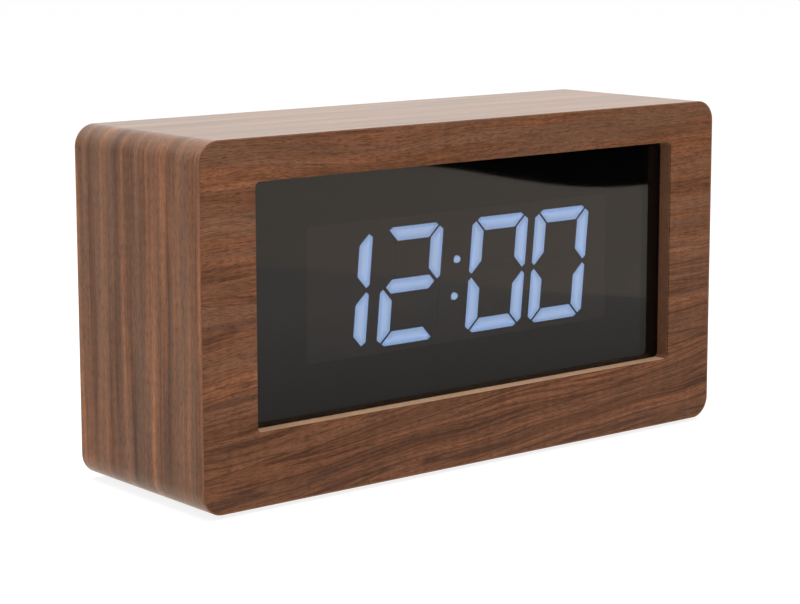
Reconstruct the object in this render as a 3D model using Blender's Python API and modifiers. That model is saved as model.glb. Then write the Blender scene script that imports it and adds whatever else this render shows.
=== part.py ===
# LED table clock: a veneered box with a smoked window, a four-digit LED module behind it,
# and a moulded rear cover that carries the buttons, the power socket and the back-up cells.
# Metres. X runs to the right seen from the front, Y towards the rear, Z up.
# The origin is on the table, under the middle of the case.

import math

import bmesh
import bpy
from mathutils import Vector

# Case
CASE_WIDTH = 0.245
CASE_HEIGHT = 0.127
CASE_DEPTH = 0.077
CORNER_RADIUS = 0.008
VENEER_THICKNESS = 0.0006
GLUE_LINE = 0.0001
SEAT_GAP = 0.0003
BOARD_THICKNESS = 0.009
CORNER_STEPS = 8

# Feet
FOOT_RADIUS = 0.006
FOOT_HEIGHT = 0.0015
FOOT_INSET_X = 0.020
FOOT_INSET_Y = 0.014
FOOT_EDGE_ROUND = 0.0004

# Front frame and window
FRONT_BOARD_THICKNESS = 0.012
STILE_WIDTH = 0.023
TOP_RAIL_HEIGHT = 0.015
WINDOW_SILL = 0.026
WINDOW_CORNER_RADIUS = 0.002
WINDOW_RECESS = 0.0062
LENS_LIP = 0.004
LENS_THICKNESS = 0.003
LENS_CLEARANCE = 0.0003

# Digits, seen from the front
DIGIT_WIDTH = 0.0278
DIGIT_HEIGHT = 0.0426
DIGIT_LEAN_DEGREES = 5.4
STROKE_SIDE = 0.0058
STROKE_BAR = 0.0050
CORNER_CUT_X = 0.0037
CORNER_CUT_Z = 0.0026
MITRE_SHIFT = 0.0011
SEGMENT_SEAM = 0.0007
WAIST_TIP_X = 0.0014
WAIST_TIP_Z = 0.0007
WAIST_CUT_Z = 0.0018
BAR_TIP_X = 0.0026
TENS_GAP = 0.0050
HOUR_MINUTE_GAP = 0.0139
DIGIT_GAP = 0.0035
COLON_RADIUS = 0.0017
COLON_SPACING = 0.0136
COLON_X_SHARE = 0.55
FACE_MARGIN_LEFT = 0.0200
FACE_MARGIN_RIGHT = 0.0088
FACE_MARGIN_BOTTOM = 0.0023
FACE_MARGIN_TOP = 0.0036

# LED module
WELL_CLEARANCE = 0.0001
GUIDE_SET_BACK = 0.0002
GUIDE_CLEARANCE = 0.0002
GUIDE_BACKING = 0.0010
GUIDE_MARGIN = 0.0008
REFLECTOR_FLANGE_LIP = 0.0020
REFLECTOR_FLANGE_THICKNESS = 0.0016
REFLECTOR_CLEARANCE = 0.0003
REFLECTOR_PIN_RADIUS = 0.0010
REFLECTOR_PIN_PROUD = 0.0008
PIN_CLEARANCE = 0.00025
PCB_THICKNESS = 0.0016
LED_LENGTH = 0.0028
LED_WIDTH = 0.0018
LED_HEIGHT = 0.0008
SOLDER_BITE = 0.0003

# Display carrier
CARRIER_FLANGE_THICKNESS = 0.0025
CARRIER_CLEARANCE = 0.0010
CARRIER_RIM_CLEARANCE = 0.0003
CARRIER_RIB_WIDTH = 0.0016
HOOK_WIDTH = 0.0140
HOOK_THICKNESS = 0.0016
HOOK_OVERHANG = 0.0007
HOOK_CLEARANCE = 0.0003
HOOK_PLAY = 0.0002
HOOK_BARB_HEIGHT = 0.0016
HOOK_LAND = 0.0004

# Screws
SCREW_RADIUS = 0.0014
SCREW_HEAD_RADIUS = 0.0027
SCREW_HEAD_HEIGHT = 0.0016
SCREW_HOLE_CLEARANCE = 0.0003
PILOT_CLEARANCE = 0.00015
CARRIER_SCREW_LENGTH = 0.0080
BOARD_SCREW_LENGTH = 0.0045
COVER_SCREW_LENGTH = 0.0120
CARRIER_SCREW_INSET_Z = 0.0100

# Rear cover
BOSS_RADIUS = 0.0030
COVER_RECESS = 0.0030
COVER_THICKNESS = 0.0025
COVER_LIP = 0.0040
COVER_CLEARANCE = 0.0004
COVER_CORNER_RADIUS = 0.0030
COUNTERBORE_DEPTH = 0.0013
COUNTERBORE_CLEARANCE = 0.0005
BLOCK_SIDE = 0.0120
BLOCK_LENGTH = 0.0240
VENT_COUNT = 8
VENT_WIDTH = 0.0020
VENT_LENGTH = 0.0240
VENT_PITCH = 0.0045
VENT_GAP = 0.0120

# Control row on the main board
ROW_GAP = 0.0040
BOARD_STANDOFF = 0.0090
MAIN_BOARD_HEIGHT = 0.0220
MAIN_BOARD_EDGE = 0.0040
MAIN_BOARD_CLEARANCE = 0.0010
BUTTON_COUNT = 5
BUTTON_RADIUS = 0.0037
BUTTON_PROUD = 0.0012
BUTTON_ROUND = 0.0006
BUTTON_FLANGE_RADIUS = 0.0050
BUTTON_FLANGE_THICKNESS = 0.0015
BUTTON_STEM_RADIUS = 0.0018
BUTTON_CLEARANCE = 0.0003
BUTTON_GAP = 0.0080
BUTTON_TRAVEL = 0.0008
BUTTON_FREE_PLAY = 0.0001
TACT_SIDE = 0.0060
TACT_HEIGHT = 0.0035
TACT_PLUNGER_RADIUS = 0.0017
TACT_PLUNGER_HEIGHT = 0.0010
KNOB_LENGTH = 0.0040
KNOB_WIDTH = 0.0044
KNOB_PROUD = 0.0006
KNOB_TRAVEL = 0.0040
KNOB_CLEARANCE = 0.0004
KNOB_FLANGE_LAP = 0.0012
KNOB_FLANGE_THICKNESS = 0.0012
KNOB_GROOVE_WIDTH = 0.0005
KNOB_GROOVE_DEPTH = 0.0004
KNOB_GROOVE_COUNT = 3
LEVER_LENGTH = 0.0020
LEVER_WIDTH = 0.0014
LEVER_BITE = 0.0015
SWITCH_WIDTH = 0.0056
SWITCH_HEIGHT = 0.0048
SWITCH_END_WALL = 0.0016
JACK_SIDE = 0.0090
JACK_SNOUT_RADIUS = 0.0040
JACK_BORE_RADIUS = 0.0028
JACK_BORE_DEPTH = 0.0080
JACK_PIN_RADIUS = 0.0010
JACK_PIN_SET_BACK = 0.0015
JACK_SET_BACK = 0.0004
JACK_CLEARANCE = 0.0003
BUZZER_RADIUS = 0.0060
BUZZER_HEIGHT = 0.0080
BUZZER_PORT_RADIUS = 0.0012
BUZZER_PORT_DEPTH = 0.0010
SOUND_HOLE_RADIUS = 0.0008
SOUND_RING_RADIUS = 0.0036
SOUND_RING_HOLES = 6
CHIP_SIDE = 0.0100
CHIP_HEIGHT = 0.0015
CAPACITOR_RADIUS = 0.0025
CAPACITOR_HEIGHT = 0.0070
HEADER_LENGTH = 0.0180
HEADER_WIDTH = 0.0050
HEADER_HEIGHT = 0.0040

# Battery bay: two AAA cells side by side
CELL_RADIUS = 0.00525
CELL_LENGTH = 0.0435
NUB_RADIUS = 0.0019
NUB_LENGTH = 0.0010
CELL_ROUND = 0.0006
CELL_GAP = 0.0008
SPRING_LENGTH = 0.0050
SPRING_WIDE_RADIUS = 0.0036
SPRING_NARROW_RADIUS = 0.0026
SPRING_WIRE_RADIUS = 0.0003
SPRING_TURNS = 3
SPRING_POINTS_PER_TURN = 10
CONTACT_THICKNESS = 0.0004
CONTACT_GAP = 0.00015
CONTACT_SIDE = 0.0085
BAY_WALL = 0.0015
BAY_CENTRE_SHARE = 0.37
BAY_DEPTH_CLEARANCE = 0.0018

# Battery door
DOOR_THICKNESS = 0.0016
DOOR_SET_IN = 0.0001
DOOR_CLEARANCE = 0.0003
DOOR_LEDGE = 0.0015
DOOR_TAB_WIDTH = 0.0060
DOOR_TAB_CLEARANCE = 0.0005
DOOR_TAB_THICKNESS = 0.0011
DOOR_TAB_DROP = 0.0022
DOOR_TAB_TAIL = 0.0022
DOOR_NECK_THICKNESS = 0.0015
DOOR_TAB_SHARE = 0.30
DOOR_OPEN_DEGREES = 75.0
THUMB_LENGTH = 0.0120
THUMB_WIDTH = 0.0050
THUMB_DEPTH = 0.0007
GRIP_RIB_COUNT = 5
GRIP_RIB_PITCH = 0.0022
GRIP_RIB_WIDTH = 0.0007
GRIP_RIB_HEIGHT = 0.0004

# Wiring
RIBBON_WIDTH = 0.0150
RIBBON_THICKNESS = 0.0010
RIBBON_SLACK = 0.0090
RIBBON_STEPS = 16
LEAD_RADIUS = 0.0006
LEAD_STEPS = 12
LEAD_SLACK = 0.0040
LEAD_SPACING = 0.0030

# One overrun serves every cut, so that no cutter's face lies on a wall
OVERRUN = 0.0010

# Radius of a slot's round ends, as a share of its width: just short of a half, so no side is empty
SLOT_END_SHARE = 0.499

# The window is what the stiles and rails leave
window_width = CASE_WIDTH - 2 * STILE_WIDTH
window_height = CASE_HEIGHT - TOP_RAIL_HEIGHT - WINDOW_SILL

# Levels along Y, from the front face to the rear rim
front_face = -CASE_DEPTH / 2
rear_face = CASE_DEPTH / 2
frame_front = front_face + VENEER_THICKNESS + GLUE_LINE
frame_back = frame_front + FRONT_BOARD_THICKNESS
lens_front = front_face + WINDOW_RECESS
lens_back = lens_front + LENS_THICKNESS
carrier_face = lens_back + SEAT_GAP
carrier_flange_front = frame_back + SEAT_GAP
carrier_back = carrier_flange_front + CARRIER_FLANGE_THICKNESS
reflector_flange_front = carrier_back + SEAT_GAP
reflector_back = reflector_flange_front + REFLECTOR_FLANGE_THICKNESS
guide_front = reflector_back + GUIDE_CLEARANCE
guide_back = guide_front + GUIDE_BACKING
led_board_front = guide_back + SEAT_GAP + LED_HEIGHT
led_board_back = led_board_front + PCB_THICKNESS
cover_outer = rear_face - COVER_RECESS
cover_inner = cover_outer - COVER_THICKNESS
main_board_back = cover_inner - BOARD_STANDOFF
main_board_front = main_board_back - PCB_THICKNESS

# Levels along Z
case_bottom = FOOT_HEIGHT + GLUE_LINE
case_top = case_bottom + CASE_HEIGHT
case_middle = case_bottom + CASE_HEIGHT / 2
window_middle = case_bottom + WINDOW_SILL + window_height / 2
bay_z = case_bottom + CASE_HEIGHT * BAY_CENTRE_SHARE

# The box under the veneer
skin = VENEER_THICKNESS + GLUE_LINE
core_width = CASE_WIDTH - 2 * skin
core_height = CASE_HEIGHT - 2 * skin
core_radius = CORNER_RADIUS - skin
hollow_width = core_width - 2 * BOARD_THICKNESS
hollow_height = core_height - 2 * BOARD_THICKNESS

# The main board hangs just under the upper corner blocks
row_z = (case_middle + hollow_height / 2 - BLOCK_SIDE - MAIN_BOARD_CLEARANCE
         - MAIN_BOARD_HEIGHT / 2)

# Where the digits stand, from the left edge of the module's face
digit_lean = math.tan(math.radians(DIGIT_LEAN_DEGREES))
module_height = FACE_MARGIN_BOTTOM + DIGIT_HEIGHT + FACE_MARGIN_TOP
tens_stroke_offset = DIGIT_WIDTH - STROKE_SIDE
module_width = (FACE_MARGIN_LEFT - tens_stroke_offset + 4 * DIGIT_WIDTH + TENS_GAP
                + HOUR_MINUTE_GAP + DIGIT_GAP + digit_lean * DIGIT_HEIGHT + FACE_MARGIN_RIGHT)
digit_base = window_middle - module_height / 2 + FACE_MARGIN_BOTTOM
hours_tens_x = -module_width / 2 + FACE_MARGIN_LEFT - tens_stroke_offset
hours_units_x = hours_tens_x + DIGIT_WIDTH + TENS_GAP
minutes_tens_x = hours_units_x + DIGIT_WIDTH + HOUR_MINUTE_GAP
minutes_units_x = minutes_tens_x + DIGIT_WIDTH + DIGIT_GAP
colon_x = hours_units_x + DIGIT_WIDTH + HOUR_MINUTE_GAP * COLON_X_SHARE
board_rim = REFLECTOR_FLANGE_LIP + REFLECTOR_CLEARANCE + CARRIER_RIB_WIDTH
led_board_width = module_width + 2 * board_rim
led_board_height = module_height + 2 * board_rim
carrier_screw_x = (hollow_width / 2 + window_width / 2 + LENS_LIP) / 2

# The control row runs from the power socket to the buzzer
button_row_width = BUTTON_COUNT * 2 * BUTTON_FLANGE_RADIUS + (BUTTON_COUNT - 1) * BUTTON_GAP
knob_flange_length = KNOB_LENGTH + 2 * KNOB_TRAVEL + 2 * KNOB_CLEARANCE + 2 * KNOB_FLANGE_LAP
knob_sweep = knob_flange_length + KNOB_TRAVEL
row_width = (JACK_SIDE + 4 * BOSS_RADIUS + button_row_width + knob_sweep + 2 * BUZZER_RADIUS
             + 5 * ROW_GAP)
jack_x = -row_width / 2 + JACK_SIDE / 2
left_boss_x = jack_x + JACK_SIDE / 2 + ROW_GAP + BOSS_RADIUS
first_button_x = left_boss_x + BOSS_RADIUS + ROW_GAP + BUTTON_FLANGE_RADIUS
button_pitch = 2 * BUTTON_FLANGE_RADIUS + BUTTON_GAP
last_button_x = first_button_x + (BUTTON_COUNT - 1) * button_pitch
switch_x = last_button_x + BUTTON_FLANGE_RADIUS + ROW_GAP + knob_sweep / 2
right_boss_x = switch_x + knob_sweep / 2 + ROW_GAP + BOSS_RADIUS
buzzer_x = right_boss_x + BOSS_RADIUS + ROW_GAP + BUZZER_RADIUS
main_board_width = row_width + 2 * MAIN_BOARD_EDGE

# The bay's inside, sized by the cells and their contacts
bay_length = (CELL_LENGTH + NUB_LENGTH + SPRING_LENGTH + 3 * SEAT_GAP
              + 2 * (CONTACT_THICKNESS + CONTACT_GAP))
bay_height = 4 * CELL_RADIUS + 3 * CELL_GAP
bay_floor = cover_inner - 2 * CELL_RADIUS - SEAT_GAP - BAY_DEPTH_CLEARANCE
cell_y = bay_floor + SEAT_GAP + CELL_RADIUS
cell_offset_z = CELL_RADIUS + CELL_GAP / 2
door_length = bay_length + 2 * DOOR_LEDGE
door_height = bay_height + 2 * DOOR_LEDGE
door_outer = cover_outer - DOOR_SET_IN
door_inner = door_outer - DOOR_THICKNESS
hinge_y = (door_outer + door_inner) / 2
hinge_z = bay_z - door_height / 2 + DOOR_THICKNESS / 2

bpy.context.preferences.edit.use_global_undo = False
for leftover in list(bpy.data.objects):
    bpy.data.objects.remove(leftover)

clock = bpy.data.collections.new("table_clock")
cutters = bpy.data.collections.new("cutters")
bpy.context.scene.collection.children.link(clock)
bpy.context.scene.collection.children.link(cutters)


def make_material(name, colour, roughness, metallic=0.0, glow=0.0, see_through=0.0):
    made = bpy.data.materials.new(name)
    made.use_nodes = True
    shader = made.node_tree.nodes["Principled BSDF"]
    shader.inputs["Base Color"].default_value = (*colour, 1.0)
    shader.inputs["Roughness"].default_value = roughness
    shader.inputs["Metallic"].default_value = metallic
    shader.inputs["Transmission Weight"].default_value = see_through
    shader.inputs["Emission Color"].default_value = (*colour, 1.0)
    shader.inputs["Emission Strength"].default_value = glow
    made.diffuse_color = (*colour, 1.0)
    return made


walnut = make_material("walnut_veneer", (0.17, 0.068, 0.034), 0.45)
mdf = make_material("raw_mdf", (0.34, 0.22, 0.13), 0.8)
smoked_acrylic = make_material("smoked_acrylic", (0.02, 0.02, 0.02), 0.03, see_through=0.6)
black_abs = make_material("black_abs", (0.018, 0.018, 0.019), 0.5)
reflector_plastic = make_material("reflector_plastic", (0.022, 0.02, 0.019), 0.4)
lit_resin = make_material("lit_resin", (0.35, 0.45, 0.78), 0.3, glow=1.0)
unlit_resin = make_material("unlit_resin", (0.045, 0.047, 0.05), 0.3)
circuit_green = make_material("circuit_board", (0.02, 0.13, 0.05), 0.35)
component_black = make_material("component_black", (0.03, 0.03, 0.03), 0.4)
zinc_steel = make_material("zinc_plated_steel", (0.62, 0.63, 0.66), 0.3, metallic=1.0)
nickel = make_material("nickel_contact", (0.66, 0.64, 0.58), 0.25, metallic=1.0)
cell_sleeve = make_material("cell_sleeve", (0.09, 0.10, 0.11), 0.35)
foot_rubber = make_material("foot_rubber", (0.03, 0.03, 0.03), 0.85)
ribbon_grey = make_material("ribbon_grey", (0.42, 0.43, 0.45), 0.5)
lead_red = make_material("lead_red", (0.45, 0.02, 0.02), 0.45)
lead_black = make_material("lead_black", (0.02, 0.02, 0.02), 0.45)


def place(obj, material, helper):
    # A helper is a cutter, or a shape that a union adds: it is hidden and not a node.
    (cutters if helper else clock).objects.link(obj)
    if helper:
        obj.hide_render = True
        obj.display_type = "WIRE"
    if material:
        obj.data.materials.append(material)
    return obj


def shade_round(obj, angle_degrees=35):
    obj.data.shade_smooth()
    obj.data.set_sharp_from_angle(angle=math.radians(angle_degrees))
    return obj


def arc(centre_x, centre_z, radius, start_degrees, end_degrees, steps=CORNER_STEPS):
    turn = (end_degrees - start_degrees) / steps
    angles = [math.radians(start_degrees + turn * i) for i in range(steps + 1)]
    return [(centre_x + radius * math.cos(a), centre_z + radius * math.sin(a)) for a in angles]


def rounded_rectangle(width, height, radius, centre_x=0.0, centre_z=0.0, steps=CORNER_STEPS):
    x = width / 2 - radius
    z = height / 2 - radius
    points = []
    for side_x, side_z, start in ((1, 1, 0), (-1, 1, 90), (-1, -1, 180), (1, -1, 270)):
        points += arc(centre_x + side_x * x, centre_z + side_z * z, radius, start, start + 90, steps)
    return points


def rectangle(width, height, centre_x=0.0, centre_z=0.0):
    x, z = width / 2, height / 2
    return [(centre_x + sx * x, centre_z + sz * z) for sx, sz in ((1, 1), (-1, 1), (-1, -1), (1, -1))]


def plate(name, outlines, front, back, x=0.0, z=0.0, material=None, helper=False):
    # Flat outlines in the XZ plane, measured from (x, z), made thick from front to back.
    # An outline inside another one is a hole.
    curve = bpy.data.curves.new(name, "CURVE")
    curve.dimensions = "2D"
    curve.fill_mode = "BOTH"
    curve.extrude = abs(back - front) / 2
    for outline in outlines:
        spline = curve.splines.new("POLY")
        spline.points.add(len(outline) - 1)
        for point, (px, pz) in zip(spline.points, outline):
            point.co = (px, pz, 0.0, 1.0)
        spline.use_cyclic_u = True
    drawn = bpy.data.objects.new(name + "_outline", curve)
    clock.objects.link(drawn)
    drawn.rotation_euler = (math.pi / 2, 0.0, 0.0)
    drawn.location = (x, (front + back) / 2, z)
    return solid_from_curve(name, drawn, material, helper)


def solid_from_curve(name, drawn, material, helper=False):
    bpy.context.view_layer.update()
    evaluated = drawn.evaluated_get(bpy.context.evaluated_depsgraph_get())
    mesh = bpy.data.meshes.new_from_object(evaluated)
    mesh.name = name
    mesh.materials.clear()
    weld_and_face_out(mesh)
    obj = bpy.data.objects.new(name, mesh)
    obj.matrix_world = drawn.matrix_world
    curve = drawn.data
    bpy.data.objects.remove(drawn)
    bpy.data.curves.remove(curve)
    return place(obj, material, helper)


def weld_and_face_out(mesh):
    shape = bmesh.new()
    shape.from_mesh(mesh)
    bmesh.ops.remove_doubles(shape, verts=shape.verts, dist=1e-7)
    bmesh.ops.recalc_face_normals(shape, faces=shape.faces)
    shape.to_mesh(mesh)
    shape.free()


def block(name, size, centre, material=None, helper=False):
    mesh = bpy.data.meshes.new(name)
    shape = bmesh.new()
    bmesh.ops.create_cube(shape, size=1.0)
    bmesh.ops.scale(shape, vec=size, verts=shape.verts)
    shape.to_mesh(mesh)
    shape.free()
    obj = bpy.data.objects.new(name, mesh)
    obj.location = centre
    return place(obj, material, helper)


def block_between(name, low, high, material=None, helper=False):
    size = [h - l for l, h in zip(low, high)]
    centre = [(h + l) / 2 for l, h in zip(low, high)]
    return block(name, size, centre, material, helper)


def rod(name, radius, x, z, front, back, material=None, helper=False, sides=24):
    # A round bar along Y.
    mesh = bpy.data.meshes.new(name)
    shape = bmesh.new()
    bmesh.ops.create_cone(shape, cap_ends=True, segments=sides, radius1=radius, radius2=radius,
                          depth=abs(back - front))
    shape.to_mesh(mesh)
    shape.free()
    obj = bpy.data.objects.new(name, mesh)
    obj.rotation_euler = (math.pi / 2, 0.0, 0.0)
    obj.location = (x, (front + back) / 2, z)
    return place(obj, material, helper)


def turned(name, profile, origin, axis, material=None, helper=False, steps=32):
    # A profile of (radius, height) points runs from the top of the axis down the outer side
    # and back to the axis. Height points along the given axis.
    mesh = bpy.data.meshes.new(name)
    shape = bmesh.new()
    verts = [shape.verts.new((radius, 0.0, height)) for radius, height in profile]
    for first, second in zip(verts, verts[1:]):
        shape.edges.new((first, second))
    shape.to_mesh(mesh)
    shape.free()
    obj = bpy.data.objects.new(name, mesh)
    screw = obj.modifiers.new("turn", "SCREW")
    screw.axis = "Z"
    screw.steps = steps
    screw.render_steps = steps
    screw.use_merge_vertices = True
    screw.merge_threshold = 0.000001
    screw.use_smooth_shade = False
    obj.rotation_euler = Vector(axis).to_track_quat("Z", "Y").to_euler()
    obj.location = origin
    return place(obj, material, helper)


def combine(obj, other, operation):
    modifier = obj.modifiers.new(other.name, "BOOLEAN")
    modifier.operation = operation
    modifier.object = other
    modifier.solver = "EXACT"
    return obj


def cut(obj, *others):
    for other in others:
        combine(obj, other, "DIFFERENCE")
    return obj


def fuse(obj, *others):
    for other in others:
        combine(obj, other, "UNION")
    return obj


def group(name, objects):
    # Several helpers that don't touch each other become one, so that one Boolean takes them all.
    bpy.context.view_layer.update()
    graph = bpy.context.evaluated_depsgraph_get()
    shape = bmesh.new()
    for obj in objects:
        evaluated = obj.evaluated_get(graph)
        mesh = bpy.data.meshes.new_from_object(evaluated)
        mesh.transform(obj.matrix_world)
        shape.from_mesh(mesh)
        bpy.data.meshes.remove(mesh)
        bpy.data.objects.remove(obj)
    mesh = bpy.data.meshes.new(name)
    shape.to_mesh(mesh)
    shape.free()
    return place(bpy.data.objects.new(name, mesh), None, True)


def soften(obj, width, segments=2):
    bevel = obj.modifiers.new("soft_edges", "BEVEL")
    bevel.width = width
    bevel.segments = segments
    bevel.limit_method = "ANGLE"
    bevel.angle_limit = math.radians(50)
    return obj


def flat_slab(name, outline, low, high, material=None, helper=False):
    # An outline in the XY plane, made thick from low to high along Z.
    curve = bpy.data.curves.new(name, "CURVE")
    curve.dimensions = "2D"
    curve.fill_mode = "BOTH"
    curve.extrude = (high - low) / 2
    spline = curve.splines.new("POLY")
    spline.points.add(len(outline) - 1)
    for point, (x, y) in zip(spline.points, outline):
        point.co = (x, y, 0.0, 1.0)
    spline.use_cyclic_u = True
    drawn = bpy.data.objects.new(name + "_outline", curve)
    clock.objects.link(drawn)
    drawn.location = (0.0, 0.0, (low + high) / 2)
    return solid_from_curve(name, drawn, material, helper)


def wire(name, points, radius, material, bevel_resolution=1):
    curve = bpy.data.curves.new(name, "CURVE")
    curve.dimensions = "3D"
    curve.bevel_depth = radius
    curve.bevel_resolution = bevel_resolution
    curve.use_fill_caps = True
    spline = curve.splines.new("POLY")
    spline.points.add(len(points) - 1)
    for point, place_of in zip(spline.points, points):
        point.co = (*place_of, 1.0)
    drawn = bpy.data.objects.new(name + "_line", curve)
    clock.objects.link(drawn)
    return solid_from_curve(name, drawn, material)


def screw(name, x, z, seat, axis_y, length):
    # The head's flat underside is at seat; the shank runs away from axis_y.
    dome = [(SCREW_HEAD_RADIUS * math.sin(math.radians(a)),
             SCREW_HEAD_HEIGHT * math.cos(math.radians(a))) for a in (0, 30, 60, 90)]
    tip = SCREW_RADIUS / 2
    profile = dome + [(SCREW_RADIUS, 0.0), (SCREW_RADIUS, -length + tip), (tip, -length), (0.0, -length)]
    return shade_round(turned(name, profile, (x, seat, z), (0, axis_y, 0), zinc_steel, steps=12))


def board_outline(length):
    # One wall of the box, seen along Y: its inner face lies on v = 0, its outer corners are
    # quarter-rounds, and both ends are mitred at 45 degrees.
    half = length / 2
    mitre_gap = GLUE_LINE / math.sqrt(2)
    centre_v = BOARD_THICKNESS - core_radius
    half_turn = CORNER_STEPS // 2
    left = arc(-half + core_radius + mitre_gap, centre_v, core_radius, 135, 90, half_turn)
    right = arc(half - core_radius - mitre_gap, centre_v, core_radius, 90, 45, half_turn)
    inner = half - BOARD_THICKNESS - mitre_gap
    return [(-inner, 0.0)] + left + right + [(inner, 0.0)]


def case_boards():
    front = frame_back + GLUE_LINE
    seat = plate("cover_seat_cutter",
                 [rounded_rectangle(hollow_width + 2 * COVER_LIP, hollow_height + 2 * COVER_LIP,
                                    COVER_CORNER_RADIUS)],
                 cover_inner - SEAT_GAP, rear_face + OVERRUN, z=case_middle, helper=True)
    walls = (
        ("top_board", core_width, (0.0, case_middle + hollow_height / 2), 0.0),
        ("left_board", core_height, (-hollow_width / 2, case_middle), 90.0),
        ("bottom_board", core_width, (0.0, case_middle - hollow_height / 2), 180.0),
        ("right_board", core_height, (hollow_width / 2, case_middle), 270.0),
    )
    for name, length, (x, z), turn in walls:
        cosine, sine = math.cos(math.radians(turn)), math.sin(math.radians(turn))
        outline = [(u * cosine - v * sine, u * sine + v * cosine) for u, v in board_outline(length)]
        wall = plate(name, [outline], front, rear_face, x, z, mdf)
        cut(shade_round(wall), seat)


def corner_blocks():
    back = cover_inner - SEAT_GAP
    x = hollow_width / 2 - GLUE_LINE - BLOCK_SIDE / 2
    z = hollow_height / 2 - GLUE_LINE - BLOCK_SIDE / 2
    for across, side_x in (("left", -1), ("right", 1)):
        for level, side_z in (("lower", -1), ("upper", 1)):
            name = f"corner_block_{level}_{across}"
            centre = (side_x * x, back - BLOCK_LENGTH / 2, case_middle + side_z * z)
            piece = block(name, (BLOCK_SIDE, BLOCK_LENGTH, BLOCK_SIDE), centre, mdf)
            pilot_depth = COVER_SCREW_LENGTH + OVERRUN
            pilot = rod(f"{name}_pilot", SCREW_RADIUS + PILOT_CLEARANCE, centre[0], centre[2],
                        back - pilot_depth, back + OVERRUN, helper=True, sides=16)
            cut(piece, pilot)
            head_seat = cover_outer - COUNTERBORE_DEPTH + PILOT_CLEARANCE
            screw(f"cover_screw_{level}_{across}", centre[0], centre[2], head_seat, 1,
                  COVER_SCREW_LENGTH)


def window_outline(grow=0.0):
    return rounded_rectangle(window_width + 2 * grow, window_height + 2 * grow,
                             WINDOW_CORNER_RADIUS + grow / 2,
                             centre_z=window_middle - case_middle, steps=4)


def veneers():
    face = rounded_rectangle(core_width, core_height, core_radius)
    plate("front_veneer", [face, window_outline()], front_face, front_face + VENEER_THICKNESS,
          z=case_middle, material=walnut)
    outer = rounded_rectangle(CASE_WIDTH, CASE_HEIGHT, CORNER_RADIUS)
    inner = rounded_rectangle(CASE_WIDTH - 2 * VENEER_THICKNESS, CASE_HEIGHT - 2 * VENEER_THICKNESS,
                              CORNER_RADIUS - VENEER_THICKNESS)
    wrap = plate("case_veneer", [outer, inner], front_face, rear_face, z=case_middle, material=walnut)
    shade_round(wrap)


def front_frame():
    face = rounded_rectangle(core_width, core_height, core_radius)
    frame = plate("front_frame", [face, window_outline()], frame_front, frame_back,
                  z=case_middle, material=mdf)
    rebate = plate("lens_rebate_cutter", [window_outline(LENS_LIP)], lens_front - SEAT_GAP,
                   frame_back + OVERRUN, z=case_middle, helper=True)
    pilots = [rod(f"frame_pilot_{i}", SCREW_RADIUS + PILOT_CLEARANCE, x, z,
                  carrier_back - CARRIER_SCREW_LENGTH - PILOT_CLEARANCE, frame_back + OVERRUN,
                  helper=True, sides=16)
              for i, (x, z) in enumerate(carrier_screw_places())]
    cut(shade_round(frame), rebate, group("frame_pilots", pilots))


def lens():
    outline = window_outline(LENS_LIP - LENS_CLEARANCE)
    shade_round(plate("lens", [outline], lens_front, lens_back, z=case_middle,
                      material=smoked_acrylic))


def carrier_screw_places():
    low = case_middle - hollow_height / 2 + CARRIER_SCREW_INSET_Z
    high = case_middle + hollow_height / 2 - CARRIER_SCREW_INSET_Z
    return [(x, z) for x in (-carrier_screw_x, carrier_screw_x) for z in (low, high)]


def display_carrier():
    # A flange screwed to the frame, a raised middle that presses on the lens, an opening that
    # the LED module looks through, and round it a rib that seats the LED board, with two hooks.
    flange = rectangle(hollow_width - 2 * CARRIER_CLEARANCE, hollow_height - 2 * CARRIER_CLEARANCE)
    middle = window_outline(LENS_LIP - CARRIER_RIM_CLEARANCE)
    opening = rectangle(module_width + 2 * REFLECTOR_CLEARANCE, module_height + 2 * REFLECTOR_CLEARANCE)
    carrier = plate("display_carrier", [flange], carrier_flange_front, carrier_back,
                    z=case_middle, material=black_abs)
    raised = plate("carrier_middle", [middle], carrier_face, carrier_back - SEAT_GAP,
                   z=case_middle, helper=True)
    hole = plate("carrier_opening", [opening], carrier_face - OVERRUN, carrier_back + OVERRUN,
                 z=window_middle, helper=True)
    rib_front = carrier_back - SOLDER_BITE
    rib_outer = rectangle(led_board_width, led_board_height)
    rib_inner = rectangle(led_board_width - 2 * CARRIER_RIB_WIDTH,
                          led_board_height - 2 * CARRIER_RIB_WIDTH)
    rib = plate("board_seat", [rib_outer, rib_inner], rib_front, led_board_front - SEAT_GAP,
                z=window_middle, helper=True)
    fuse(carrier, raised, rib, group("board_hooks", [board_hook(side) for side in (-1, 1)]))
    holes = [rod(f"carrier_hole_{i}", SCREW_RADIUS + SCREW_HOLE_CLEARANCE, x, z,
                 carrier_flange_front - OVERRUN, carrier_back + OVERRUN, helper=True, sides=16)
             for i, (x, z) in enumerate(carrier_screw_places())]
    cut(carrier, hole, group("carrier_holes", holes))
    for i, (x, z) in enumerate(carrier_screw_places()):
        name = ("lower_left", "upper_left", "lower_right", "upper_right")[i]
        screw(f"carrier_screw_{name}", x, z, carrier_back + PILOT_CLEARANCE, 1, CARRIER_SCREW_LENGTH)


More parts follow.
